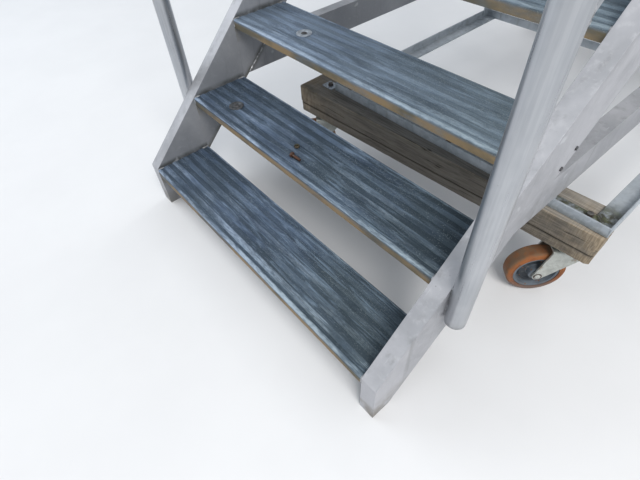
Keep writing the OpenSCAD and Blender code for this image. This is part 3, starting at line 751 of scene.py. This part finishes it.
def loose_bolt(length, radius):
    """A bolt along z: a shank whose radius is r (1 + 0.08 cos) along its thread, and a hexagon head."""
    along = np.linspace(0, length, 60)
    ridges = radius * (1 + 0.08 * np.cos(along / (1.5 * MM) * 2 * np.pi))
    shank = lathe([(0, 0), *zip(ridges, along), (0, length)], 16)
    return [shank, turned_to(hexagon(radius * 3.6, radius * 1.6), (0, 0, 0), (0, 0, -1))]


def loose_nut(width, height, bore):
    """A hexagon nut with turned-off corners round a bore with eased edges."""
    angle, reach = hexagon_reach(width)
    crown = width * 0.47
    rows = [(bore, 0), (crown, 0), (reach, height * 0.15), (reach, height * 0.8), (crown, height),
            (bore * 1.15, height), (bore, height * 0.85)]
    return rings(angle, rows, closed=True)


bolt_spot = on_tread(2, 0.4775, 0.0415, 6.4 * MM)
bolt_shells = [turned_to(shell, bolt_spot, (0.99, 0.09, -0.10)) for shell in loose_bolt(29 * MM, 3.8 * MM)]
piece("rusty_bolt", bolt_shells, rusty_steel)
nut = loose_nut(15 * MM, 6 * MM, 4.2 * MM)
piece("rusty_nut", [turned_to(nut, on_tread(2, 0.450, 0.078), turn=0.3)], olive_steel)


# Timber bolsters

def sawn_plank(low, high, turn, seed, pivot):
    """Weathered plank, turned about an upright line: a rounded rectangle carried along x, with its wear.

    The section is a superellipse, (cos^e, sin^e) with a small e. Checks, knocks and splits move points in."""
    along = np.concatenate([[0], np.linspace(0, 1, 110), [1]])
    angle = np.linspace(0, 2 * np.pi, 72, endpoint=False)
    across, upright = (np.sign(wave) * np.abs(wave) ** 0.09 for wave in (np.cos(angle), np.sin(angle)))
    half = (high - low) / 2
    middle = (high + low) / 2
    shrink = np.ones((len(along), 1))
    shrink[[0, -1]] = 0
    shrink[[1, -2]] = 1 - 1.5 * MM / half[2]
    grid_x = np.repeat((low[0] + along * (high[0] - low[0]))[:, None], len(angle), 1)
    grid = [grid_x, middle[1] + half[1] * across * shrink, middle[2] + half[2] * upright * shrink]
    points = np.stack(grid, -1).reshape(-1, 3)
    grain = np.clip(waves(points, seed, (0.5, 11 * MM, 11 * MM), 11), -1, 0.2) - 0.2
    knocks = np.clip(waves(points, seed + 1, (70 * MM, 60 * MM, 60 * MM)) - 0.45, 0, 1)
    ends = np.minimum(points[:, 0] - low[0], high[0] - points[:, 0])
    split = np.exp(-ends / (35 * MM)) * np.clip(waves(points, seed + 2, (1, 9 * MM, 14 * MM)) - 0.3, 0, 1)
    depth = 0.7 * MM * -grain + 2.2 * MM * knocks + 3 * MM * split
    off = points - middle
    inward = -np.sign(off) * (np.abs(off) > half * (np.inf, 0.97, 0.94))
    end_pull = np.clip(waves(points, seed + 3, (1, 16 * MM, 10 * MM)), 0, 1) * 2.5 * MM
    points = points + inward * depth[:, None]
    points[:, 0] += np.where(ends < 1 * MM, end_pull * -np.sign(off[:, 0]), 0)
    near_edge = np.tile((np.abs(across * upright) > 0.93) * 0.5, len(along))
    wear = np.clip(np.exp(-ends / (95 * MM)) * 0.9 + near_edge, 0, 1)
    spin = np.array(Matrix.Rotation(turn, 3, "Z"))
    return ((points - pivot) @ spin.T + pivot, quads(len(along), len(angle), round_columns=True)), wear


BOLSTER_LENGTH = 1060 * MM
BOLSTER_DEPTH = 120 * MM
FRONT_SKEW = math.radians(2.8)
for end, skew, first_seed in (("front", FRONT_SKEW, 0), ("rear", 0.0, 5)):
    for layer, seed in (("upper", 31), ("lower", 47)):
        name = f"bolster_{end}_{layer}"
        low, high = span(name)
        pivot = np.array([base_high[0], low[1] + BOLSTER_LENGTH * math.sin(skew), 0.0])
        near = np.array([pivot[0] - BOLSTER_LENGTH, pivot[1], low[2]])
        far = np.array([pivot[0], pivot[1] + BOLSTER_DEPTH, high[2]])
        shell, wear = sawn_plank(near, far, skew, seed + first_seed, pivot)
        piece(f"{name}_timber", [shell], timber, stands_for=(name,), marks={"wear": wear},
              weld=False)


# Bumper

def bumper_section(thick, tall):
    """Outline of the bumper as back and up: two corners in arcs and three grooves r sin(a) deep."""
    radius = 18 * MM
    lower = [(thick - radius + radius * math.cos(a), radius + radius * math.sin(a))
             for a in np.linspace(-np.pi / 2, 0, 7)]
    upper = [(back, tall - up) for back, up in reversed(lower)]
    grooves = [(thick - 3 * MM * math.sin(a), tall * centre - 4 * MM * math.cos(a))
               for centre in (0.32, 0.5, 0.68) for a in np.linspace(0, np.pi, 7)]
    return np.array([(0, 0), *lower, *grooves, *upper, (0, tall)])


bumper_low, bumper_high = span("bumper")
wide, thick, tall = bumper_high - bumper_low
block, block_faces = plate(bumper_section(thick, tall), wide, 1.5 * MM)
piece("grooved_bumper", [(block[:, [2, 0, 1]] + bumper_low, block_faces)], rubber,
      stands_for=("bumper",), sharp=50)


def hexagon_set(size, height, at, axis, turn):
    """A bolt head or nut on its washer, both set at a place on a face along the face's outward axis."""
    washer = lathe([(0, 0), (size * 1.02, 0), (size * 1.05, 0.6 * MM), (size, 1.6 * MM), (0, 1.6 * MM)], 28)
    lifted = np.array(at) + np.array(axis, float) * 1.2 * MM
    return [turned_to(washer, at, axis), turned_to(hexagon(size * 1.75, height), lifted, axis, turn)]


def many_bolts(spots, size, height, axis, seed):
    """Bolt heads at several places, each with its own seeded turn."""
    turns = np.random.default_rng(seed).uniform(0, math.pi / 3, len(spots))
    return [shell for spot, turn in zip(spots, turns)
            for shell in hexagon_set(size, height, spot, axis, turn)]


def flat_bar(low, high, axis=2):
    """A bar between two corners with drawn-in edges, its thickness along one axis."""
    size = np.array(high) - np.array(low)
    wide, tall = np.delete(size, axis)
    outline = outline_rounded([(0, 0), (wide, 0), (wide, tall), (0, tall)], 1.2 * MM, 2)
    points, faces = plate(outline, size[axis])
    order = [0, 1]
    order.insert(axis, 2)
    return points[:, order] + np.array(low), faces


# Two bars clamp the bumper to the rear beam
BAR_SHEET = 5 * MM
bars = []
bar_spots = []
for edge, other in ((beams_low[2], bumper_low[2]), (bumper_high[2], beams_high[2])):
    bottom = edge + 1 * MM
    top = other - 1 * MM
    bars.append(flat_bar((bumper_low[0] + 4 * MM, bumper_low[1], bottom),
                         (bumper_high[0] - 4 * MM, bumper_low[1] + BAR_SHEET, top), 1))
    bar_spots += [(x, bumper_low[1] + BAR_SHEET, (bottom + top) / 2)
                  for x in np.linspace(bumper_low[0] + 50 * MM, bumper_high[0] - 50 * MM, 8)]
piece("bumper_bars", bars, galvanised)
piece("bumper_bolts", many_bolts(bar_spots, 5.2 * MM, 5 * MM, (0, 1, 0), 3), bolt_steel)


# Wheels and casters

TYRE_HALF = 23 * MM
TYRE_SHOULDER = 10 * MM
RIM_RADIUS = 62 * MM
wheel_radius = (span("tyre_front_right")[1][2] - span("tyre_front_right")[0][2]) / 2


def mirrored(rows):
    """A section of (radius, width) rows with its mirror image before it, from side to side of the wheel."""
    return np.array([(radius, -width) for radius, width in reversed(rows)] + list(rows))


def tyre_shell(seed):
    """Tyre section carried round the axle: flat tread, shoulders r (cos a, sin a), groove beside the rim.

    The tread is worn in by low seeded waves and a few shallow bites."""
    rows = [(wheel_radius, TYRE_HALF * share) for share in (0.12, 0.24, 0.36, 0.48)]
    rows += [(wheel_radius - TYRE_SHOULDER * (1 - math.cos(a)), TYRE_HALF - TYRE_SHOULDER * (1 - math.sin(a)))
             for a in np.linspace(0.15, math.pi / 2, 8)]
    rows += [(wheel_radius - 12.5 * MM, TYRE_HALF), (wheel_radius - 13.2 * MM, TYRE_HALF - 1 * MM),
             (wheel_radius - 15.5 * MM, TYRE_HALF - 1 * MM), (wheel_radius - 16.2 * MM, TYRE_HALF),
             (RIM_RADIUS, TYRE_HALF)]
    points, faces = lathe(mirrored(rows), 120, ring=True)
    radius = np.hypot(points[:, 0], points[:, 1])
    outer = np.clip((radius - (wheel_radius - 6 * MM)) / (5 * MM), 0, 1)
    bites = np.clip(waves(points, seed, 22 * MM) - 0.62, 0, 1) * 4.0 * MM
    worn = 0.25 * MM * (1 + waves(points, seed + 1, 70 * MM))
    shrink = 1 - outer * (bites + worn) / radius
    points[:, :2] *= shrink[:, None]
    return (points, faces), outer


def hub_shell():
    """Hub section carried round the axle: rim, dished web with a raised ring, and boss. The web is marked."""
    rows = [(8.06, 24.6), (8.6, 25), (19, 25), (21, 24.2), (22, 22), (22.6, 12), (24.2, 8.4), (27, 7.2),
            (35, 6.4), (39.2, 6.4), (40.2, 8.4), (41, 9), (43, 9), (43.8, 8.4), (44.8, 6.4), (49, 6.8),
            (51.6, 8.6), (53, 12), (53.8, 19), (54.6, 20.6), (56, 21), (60.6, 21), (61.7, 20)]
    points, faces = lathe(mirrored(np.array(rows) * MM), 72, ring=True)
    radius = np.hypot(points[:, 0], points[:, 1]) / MM
    return (points, faces), np.clip((53 - radius) / 2, 0, 1) * np.clip((radius - 24) / 2, 0, 1)


def thread_end(radius, length):
    """A stub of thread: a shaft whose radius is r (1 - 0.05 |sin|) along its length, with a chamfered end."""
    along = np.linspace(0, length, 25)
    ridges = radius * (1 - 0.05 * np.abs(np.sin(along / (1.5 * MM) * np.pi)))
    ridges[-1] = radius * 0.8
    return lathe([(0, 0), *zip(ridges, along), (0, length)], 24)


CHEEK_OUTER = 34 * MM
CHEEK_SHEET = 5 * MM
CHEEK_INNER = CHEEK_OUTER - CHEEK_SHEET
EYE_RADIUS = 14 * MM
CROWN_BACK = -52 * MM
CROWN_FRONT = 40 * MM


def tangent(point, centre, radius, turn):
    """Where a line from a point touches a circle: acos(radius / distance) round the centre, either way."""
    gap = np.array(point, float) - centre
    angle = math.atan2(gap[1], gap[0]) + turn * math.acos(radius / np.linalg.norm(gap))
    return centre + radius * np.array([math.cos(angle), math.sin(angle)])


def pressed_fork(pivot, axle, across, top):
    """A fork pressed from one plate: flat crown, two bends r (cos a, sin a), two cheeks narrowing to an eye.

    Each row across the plate runs from its back edge to its front edge, straight down to the eye's circle."""
    trail = np.linalg.norm((axle - pivot)[:2])
    ahead = (axle - pivot) * (1, 1, 0) / trail
    eye = np.array([trail, axle[2]])
    back_start = np.array([CROWN_BACK, top - 20 * MM])
    front_start = np.array([CROWN_FRONT, top - 6 * MM])
    edges = [(start, tangent(start, eye, EYE_RADIUS, turn), turn)
             for start, turn in ((back_start, 1), (front_start, -1))]
    bend = 9 * MM
    arc = np.linspace(0, np.pi / 2, 8)
    low = axle[2] - EYE_RADIUS
    heights = np.concatenate([np.linspace(0, 1, 14) ** 2 * 2.2 * EYE_RADIUS + low + 0.02 * MM,
                              np.linspace(low + 2.4 * EYE_RADIUS, top - bend, 12)])
    share = np.linspace(0, 1, 14)
    skins = []
    for depth, inset in ((CHEEK_OUTER, 0), (CHEEK_INNER, CHEEK_SHEET)):
        radius = bend - inset
        ceiling = top - inset
        side = [(-depth, z) for z in heights]
        side += [(-depth + radius * (1 - math.cos(a)), ceiling - radius * (1 - math.sin(a))) for a in arc]
        flat = [(y, ceiling) for y in np.linspace(-depth + radius, depth - radius, 9)[1:-1]]
        y, z = np.array(side + flat + [(-y, z) for y, z in reversed(side)]).T
        circle = np.sqrt(np.maximum(EYE_RADIUS ** 2 - (z - eye[1]) ** 2, 0))
        back, front = (np.where(z < touch[1], eye[0] - turn * circle,
                                np.interp(z, [touch[1], start[1]], [touch[0], start[0]]))
                       for start, touch, turn in edges)
        forward = back[:, None] * (1 - share) + front[:, None] * share
        skins.append(np.stack([forward, y[:, None] + 0 * forward, z[:, None] + 0 * forward], -1))
    outside, inside = skins
    grid = np.concatenate([outside, inside[:, ::-1]], 1)
    count = grid.shape[1]
    faces = quads(len(grid), count, round_columns=True)
    caps = [[i, i + 1, count - 2 - i, count - 1 - i] for i in range(len(share) - 1)]
    faces += caps + shifted(caps, (len(grid) - 1) * count)
    return grid.reshape(-1, 3) @ np.stack([ahead, across, (0, 0, 1)]) + pivot * (1, 1, 0), faces


# Sections as radius and height in mm
HEAD = np.array([(0, -6.5), (34, -6.5), (39, -5), (39.6, -2.5), (38.4, -0.6), (36, 0), (0, 0)]) * MM
RACE = np.array([(34.2, -7.6), (35.6, -7.4), (37.2, -6.2), (37.6, -3.6), (36.4, -1.6), (34.2, -0.9)]) * MM
COLLAR = np.array([(8.3, 0), (11.4, 0), (11.7, 0.6), (11.2, 1.6), (8.3, 1.6)]) * MM
SPACER = np.array([(8.3, 25.4), (13, 25.4), (13, 28.9), (8.3, 28.9)]) * MM
SHAFT = mirrored(np.array([(8, 35.6), (7, 36.6), (0, 37)]) * MM)
# The swivel head stands this high over the fork's crown
HEAD_HEIGHT = 7.7 * MM
DOWN = (0, 0, -1)

for index, corner in enumerate(CORNERS):
    pivot = np.array(joints[f"swivel_{corner}"]["pos_m"])
    axle = np.array(joints[f"spin_{corner}"]["pos_m"])
    across = np.array(joints[f"spin_{corner}"]["axis"], float)
    caster = f"caster_{corner}"
    wheel = f"wheel_{corner}"
    tyre, wear = tyre_shell(60 + index)
    piece(f"tyre_ring_{corner}", [turned_to(tyre, axle, across, index * 0.7)], orange_tyre, wheel,
          (f"tyre_{corner}",), marks={"wear": wear}, weld=False)
    hub, web = hub_shell()
    piece(f"ringed_hub_{corner}", [turned_to(hub, axle, across)], painted_iron, wheel,
          (f"hub_{corner}",), marks={"web": web}, weld=False)
    top = span(f"fork_{corner}")[1][2]
    fork = [pressed_fork(pivot, axle, across, top - HEAD_HEIGHT), turned_to(lathe(SHAFT, 36), axle, across),
            turned_to(lathe(HEAD, 64), (pivot[0], pivot[1], top))]
    fork += [turned_to(lathe(SPACER, 36, ring=True), axle, side * across) for side in (-1, 1)]
    piece(f"pressed_fork_{corner}", fork, zinc, caster, (f"fork_{corner}",), sharp=50)
    king_nut = turned_to(hexagon(26 * MM, 9 * MM), pivot - (0, 0, 13 * MM), DOWN, 0.4)
    stub = turned_to(thread_end(8 * MM, 4 * MM), pivot - (0, 0, 22 * MM), DOWN)
    piece(f"caster_race_{corner}", [turned_to(lathe(RACE, 48), pivot), king_nut, stub], zinc, caster)
    collars = [turned_to(lathe(COLLAR, 36), axle + side * across * CHEEK_OUTER, side * across)
               for side in (-1, 1)]
    piece(f"axle_washers_{corner}", collars, bolt_steel, caster)

# Four bolts under each caster plate, at the corners of a square of 80 mm, 8 mm above the swivel
PLATE_BOLT = 40 * math.sqrt(2) * MM
plate_spots = []
for corner in CORNERS:
    centre = np.array(joints[f"swivel_{corner}"]["pos_m"])
    skew = FRONT_SKEW if corner.startswith("front") else 0.0
    plate_spots += [centre + (PLATE_BOLT * math.cos(a), PLATE_BOLT * math.sin(a), 8 * MM)
                    for a in np.arange(4) * math.pi / 2 + math.pi / 4 + skew]
piece("caster_plate_bolts", many_bolts(plate_spots, 7.4 * MM, 5.5 * MM, DOWN, 8), bolt_steel)


# Angle frame

LEG_FLAT = 50 * MM
LEG_UP = 28 * MM
LEG_SHEET = 5 * MM
# The angle in mm as inset from its outer face and height: a flat leg, a low upright leg and a fillet
ANGLE = np.array([(1, 0), (49.2, 0), (50, 0.8), (50, 4.2), (49.2, 5), (36, 5), (22, 5), (10, 5), (7.4, 5.4),
                  (5.6, 7), (5, 9.4), (5, 18), (5, 27.2), (4.3, 28), (0.8, 28), (0, 27.2), (0, 14),
                  (0, 1)]) * MM


def angle_ring():
    """The angle carried round a rectangle with mitred corners. Seeded waves knock its upper edge down."""
    corners = [(base_low[0], base_low[1], 1, 1), (base_high[0], base_low[1], -1, 1),
               (base_high[0], base_high[1], -1, -1), (base_low[0], base_high[1], 1, -1)]
    ends = np.array([[(x + in_x * inset, y + in_y * inset, base_low[2] + up) for inset, up in ANGLE]
                     for x, y, in_x, in_y in corners])
    share = np.linspace(0, 1, 60, endpoint=False)[None, :, None, None]
    points = (ends[:, None] * (1 - share) + np.roll(ends, -1, 0)[:, None] * share).reshape(-1, 3)
    knocks = np.clip(waves(points, 71, 90 * MM) - 0.5, 0, 1) * 1.2 * MM
    points[:, 2] -= knocks * (points[:, 2] > base_low[2] + 20 * MM)
    return points, quads(len(points) // len(ANGLE), len(ANGLE), round_rows=True, round_columns=True)


def angle_length(x1, x2, y):
    """A straight length of the angle along x, its upright leg in front, closed at both ends."""
    stations = np.linspace(x1, x2, 30)
    points = np.array([(x, y + inset, base_low[2] + up) for x in stations for inset, up in ANGLE])
    cap = tessellate_polygon([[(*row, 0) for row in ANGLE]])
    sides = quads(len(stations), len(ANGLE), round_columns=True)
    return points, sides + shifted(cap, 0) + shifted(cap, len(points) - len(ANGLE))


middle_y = (base_low[1] + base_high[1]) / 2
flat_left = base_low[0] + LEG_FLAT
flat_right = base_high[0] - LEG_FLAT
bed = base_low[2] + LEG_SHEET
frame_steel = [angle_ring(), angle_length(flat_left, flat_right, middle_y)]
for x1, x2 in ((base_low[0] + LEG_SHEET, flat_left), (flat_right, base_high[0] - LEG_SHEET)):
    frame_steel.append(flat_bar((x1 + 0.3 * MM, middle_y, bed + 0.2 * MM),
                                (x2, middle_y + LEG_SHEET, base_low[2] + LEG_UP), 1))
# Stub plates stand on the flat leg and carry the right side rail and the cross tubes
STUB_SHEET = 6 * MM
STUB_GAP = LEG_SHEET + 0.4 * MM
rail_low, rail_high = span("side_rail_right")
for y in (base_low[1] + STUB_GAP, middle_y + STUB_GAP, base_high[1] - STUB_GAP - STUB_SHEET):
    frame_steel.append(flat_bar((rail_low[0] + 5 * MM, y, bed),
                                (rail_high[0] - 5 * MM, y + STUB_SHEET, base_high[2]), 1))
tube_low, tube_high = span("cross_tubes")
stub_x = base_low[0] + STUB_GAP
for y in (tube_low[1], span("leg_front_left")[0][1], tube_high[1] - LEG_FLAT):
    frame_steel.append(flat_bar((stub_x, y + 6 * MM, bed),
                                (stub_x + STUB_SHEET, y + 44 * MM, base_high[2]), 0))
piece("angle_ring", frame_steel, galvanised, stands_for=("angle_frame",), sharp=40)


# Open feet of the handrails' lower posts

lower_post = nosing_y + 215 * MM
FOOT_END = 245 * MM
for side in SIDES:
    foot_top = span(f"handrail_{side}")[0][2]
    reach = (foot_top - FOOT_END) / MM
    profile = [(24, 0), (24, -reach * 0.5), (24, 1.2 - reach), (23.2, -reach),
               (21.8, -reach), (21, 1.2 - reach), (21, 0)]
    foot = lathe(np.array(profile) * MM, 64, ring=True)
    piece(f"post_foot_{side}", [turned_to(foot, (rail_x[side], lower_post, foot_top))], rail_aluminium)


# Bolts through the frame, the timbers and the stringer

frame_spots = [place(1118, 650, 150), place(285, 635, 150), place(700, 640, 150)]
frame_spots += [(spot[0], 2 * middle_y - spot[1], spot[2]) for spot in frame_spots]
piece("frame_bolts", many_bolts(frame_spots, 8.5 * MM, 7 * MM, (0, 0, 1), 12), bolt_steel)
strap = place(205, 622, 145)
strap_bar = flat_bar(strap - (24 * MM, 20 * MM, 0.5 * MM), strap + (24 * MM, 20 * MM, 3 * MM))
piece("timber_bolt_plate", [strap_bar], bright_steel)
piece("timber_bolt", many_bolts([strap + (0, 0, 3 * MM)], 9 * MM, 8 * MM, (0, 0, 1), 13), bolt_steel)
web_spots = [place(1044, 567, 352), place(1044, 530, 318)]
piece("web_bolts", many_bolts(web_spots, 5.0 * MM, 2.4 * MM, (1, 0, 0), 14), dark_steel)


# Deck screws, two in each end of every deck plank

button = np.array([(0, 2.1), (2.6, 1.9), (5, 1.2), (6.6, 0.1), (6.6, -0.6)]) * MM
deck_spots = [(x, front + RIB_START + rib * RIB_PITCH + RIB_WIDTH / 2, deck_high[2] - 0.6 * MM)
              for x in (deck_low[0] + 22 * MM, deck_high[0] - 22 * MM)
              for front in deck_fronts
              for rib in (0, 4)]
piece("deck_screws", [turned_to(lathe(button, 20), spot) for spot in deck_spots], bolt_steel)


# Welds

def box_bead(low, high, z, seed):
    """A closed bead round an upright box at a height, the corners in order."""
    x1 = low[0] + 1.5 * MM
    x2 = high[0] - 1.5 * MM
    corners = [(x1, low[1], z), (x2, low[1], z), (x2, high[1], z), (x1, high[1], z), (x1, low[1], z)]
    return bead(corners, 2.6 * MM, seed)


def cope_path(post, post_radius, start, along, radius):
    """Where a tube meets an upright post: on each line of the tube, the point at the post's radius."""
    angle = np.linspace(0, 2 * np.pi, 40)
    side = np.array([1.0, 0.0, 0.0])
    up = np.cross(along, side)
    skin = np.array(start) + radius * (np.cos(angle)[:, None] * side + np.sin(angle)[:, None] * up)
    offset = skin[:, :2] - post
    step = along[:2]
    a = step @ step
    b = offset @ step
    c = (offset ** 2).sum(1) - post_radius ** 2
    reach = (-b + np.sqrt(np.maximum(b * b - a * c, 0))) / a
    return skin + reach[:, None] * along


POST_RADIUS = 24 * MM
KNEE_RADIUS = 19 * MM
KNEE_HEIGHT = 500 * MM
GUARD_KNEE_HEIGHT = 550 * MM
upper_post = beams_low[1] - 296 * MM
pitch = math.atan2(rise, going)
uphill = np.array([0.0, math.cos(pitch), math.sin(pitch)])
level = np.array([0.0, 1.0, 0.0])
# Rows: a post's y, the ends and slope of its weld, its knee rail's height and the ways the rail leaves it
posts = [(y, nosing_line(y) - 110 * MM, nosing_line(y), rise / going, nosing_line(y) + KNEE_HEIGHT, ways)
         for y, ways in ((lower_post, (uphill,)), (upper_post, (uphill, -uphill)))]
posts += [(y, beams_low[2] + 4 * MM, beams_high[2], 0, deck_high[2] + GUARD_KNEE_HEIGHT, ways)
          for y, ways in ((beams_low[1] + 40 * MM, (level,)),
                          ((beams_low[1] + beams_high[1]) / 2, (level, -level)),
                          (beams_high[1] - 40 * MM, (-level,)))]
rail_welds = []
seed = 100
for side in SIDES:
    face_x = outer_x[side] + outward[side] * 1.4 * MM
    for number, (y, bottom, top, slope, knee, ways) in enumerate(posts, 1):
        for lean in (-7 * MM, 7 * MM):
            ends = [(face_x, y + lean, bottom), (face_x, y + lean, top + lean * slope - 2 * MM)]
            rail_welds.append(bead(ends, 3 * MM, seed + number))
        for way in ways:
            path = cope_path((rail_x[side], y), POST_RADIUS, (rail_x[side], y, knee), way, KNEE_RADIUS)
            rail_welds.append(bead(path, 2.6 * MM, seed + len(posts)))
    seed += len(posts)
piece("rail_welds", rail_welds, weld_metal)

# Round each tread's nosing and down its back edge, as back and up in mm
back_edge = plank_depth / MM
NOSE_WELD = ((1, -24), (1, -3), (4, -0.2), (22, -0.6))
BACK_WELD = ((176, -0.8), (back_edge, -0.8), (back_edge + 0.6, -22))
tread_welds = []
for number in range(1, len(tread_names) + 1):
    for edge in (1.2 * MM, clear_width - 1.2 * MM):
        seed += 1
        for i, line in enumerate((NOSE_WELD, BACK_WELD)):
            path = [on_tread(number, edge, back * MM, up * MM) for back, up in line]
            tread_welds.append(bead(path, 2.4 * MM, seed + i))
piece("tread_welds", tread_welds, weld_metal)

frame_welds = []
for side in SIDES:
    for end in ("front", "rear"):
        low, high = span(f"leg_{end}_{side}")
        seed += 2
        frame_welds.append(box_bead(low, high, low[2] + 0.8 * MM, seed))
        frame_welds.append(box_bead(low, high, high[2] - 0.8 * MM, seed + 1))
    # The stringer's upper end on the front beam
    y = beams_low[1] - 0.8 * MM
    for x in (outer_x[side], inner_x[side]):
        ends = [(x, y, beams_high[2] + nose_height - 12 * MM), (x, y, beams_low[2] + 3 * MM)]
        frame_welds.append(bead(ends, 3 * MM, seed + 5))
    # The stringer's lower edge on the side rail's cut end, on the inner face
    rail_low, rail_high = span(f"side_rail_{side}")
    x = inner_x[side] - outward[side] * 0.6 * MM
    line = [(x, nosing_y + (z - nosing_z + STRINGER_DROP) * going / rise, z)
            for z in (rail_low[2] + 2 * MM, rail_high[2] - 2 * MM)]
    frame_welds.append(bead(line, 2.6 * MM, seed + 9))
piece("frame_welds", frame_welds, weld_metal)

# The angle frame's mitres: along the flat leg and up the corner
base_welds = []
for x, in_x in ((base_low[0], 1), (base_high[0], -1)):
    for y, in_y in ((base_low[1], 1), (base_high[1], -1)):
        seed += 1
        corner = np.array([x, y, base_low[2]])
        way = np.array([in_x, in_y, 0]) * MM
        flat_line = [corner + inset * way + (0, 0, LEG_SHEET + 0.4 * MM) for inset in (6, 49)]
        up_line = [corner + 0.9 * way + (0, 0, up) for up in (2 * MM, LEG_UP - 1 * MM)]
        base_welds.append(bead(flat_line, 2.2 * MM, seed))
        base_welds.append(bead(up_line, 2.0 * MM, seed + 1))
piece("base_welds", base_welds, galvanised)


# Stage: floor, lights and camera

def lamp(name, at, aim, size, power, colour):
    """A soft square lamp at a place, turned towards an aim."""
    light = bpy.data.lights.new(name, "AREA")
    light.size = size
    light.energy = power
    light.color = colour
    holder = bpy.data.objects.new(name, light)
    scene.collection.objects.link(holder)
    back = np.array(at, float) - np.array(aim, float)
    back /= np.linalg.norm(back)
    across = np.cross((0, 0, 1), back)
    across /= np.linalg.norm(across)
    turn = Matrix(np.column_stack([across, np.cross(back, across), back]).tolist()).to_4x4()
    turn.translation = at
    holder.matrix_world = turn


def pale_floor():
    """Plain matt floor in a pale grey."""
    mesh = bpy.data.meshes.new("floor")
    reach = 60.0
    corners = [(-reach, -reach, 0), (reach, -reach, 0), (reach, reach, 0), (-reach, reach, 0)]
    mesh.from_pydata(corners, [], [(0, 1, 2, 3)])
    mix = Recipe("pale_floor")
    mix.colour = mix.pair((0.745, 0.75, 0.765), (0.765, 0.77, 0.785), mix.noise(3, 3), 0.3, 0.7)
    mesh.materials.append(mix.done(0.9))
    floor = bpy.data.objects.new("floor", mesh)
    scene.collection.objects.link(floor)


def soft_sky():
    """Even light from all round, white where the camera sees it."""
    world = bpy.data.worlds.new("soft_sky")
    world.use_nodes = True
    scene.world = world
    tree = world.node_tree
    background = tree.nodes["Background"]
    rays = tree.nodes.new("ShaderNodeLightPath")
    seen = tree.nodes.new("ShaderNodeMath")
    seen.operation = "MAXIMUM"
    tree.links.new(rays.outputs["Is Camera Ray"], seen.inputs[0])
    tree.links.new(rays.outputs["Is Transmission Ray"], seen.inputs[1])
    strength = tree.nodes.new("ShaderNodeMapRange")
    tree.links.new(seen.outputs[0], strength.inputs["Value"])
    strength.inputs["To Min"].default_value = 0.62
    strength.inputs["To Max"].default_value = 1.0
    background.inputs["Color"].default_value = (0.90, 0.95, 1.0, 1.0)
    tree.links.new(strength.outputs[0], background.inputs["Strength"])


# The fitted camera: place in metres, heading left of +Y, dip and roll in degrees, and lens in mm
PHOTO_PLACE = (0.7235, -1.5226, 1.0725)
PHOTO_ANGLES = (52.45, 48.63, 4.15)
PHOTO_LENS = 23.99


def photo_camera():
    """The camera at the photograph's view."""
    heading, dip, roll = (math.radians(angle) for angle in PHOTO_ANGLES)
    ahead = np.array([-math.sin(heading), math.cos(heading), 0])
    forward = ahead * math.cos(dip) - np.array([0, 0, math.sin(dip)])
    level = np.array([math.cos(heading), math.sin(heading), 0])
    upright = np.cross(level, forward)
    right = level * math.cos(roll) - upright * math.sin(roll)
    up = upright * math.cos(roll) + level * math.sin(roll)
    lens = bpy.data.cameras.new("photo_camera")
    lens.sensor_fit = "HORIZONTAL"
    lens.sensor_width = 36
    lens.lens = PHOTO_LENS
    lens.clip_start = 0.02
    camera = bpy.data.objects.new("photo_camera", lens)
    scene.collection.objects.link(camera)
    turn = Matrix(np.column_stack([right, up, -forward]).tolist()).to_4x4()
    turn.translation = PHOTO_PLACE
    camera.matrix_world = turn
    scene.camera = camera


pale_floor()
soft_sky()
lamp("key_lamp", (3.2, -2.2, 4.2), (0.2, -0.6, 0.4), 2.4, 190, (1.0, 0.97, 0.93))
lamp("fill_lamp", (-3.6, -2.6, 3.2), (0.0, -0.3, 0.6), 3.2, 70, (0.90, 0.95, 1.0))
lamp("back_lamp", (-1.0, 4.2, 4.0), (0.0, 0.3, 1.0), 3.0, 90, (1.0, 1.0, 1.0))
photo_camera()
scene.view_settings.view_transform = "Standard"
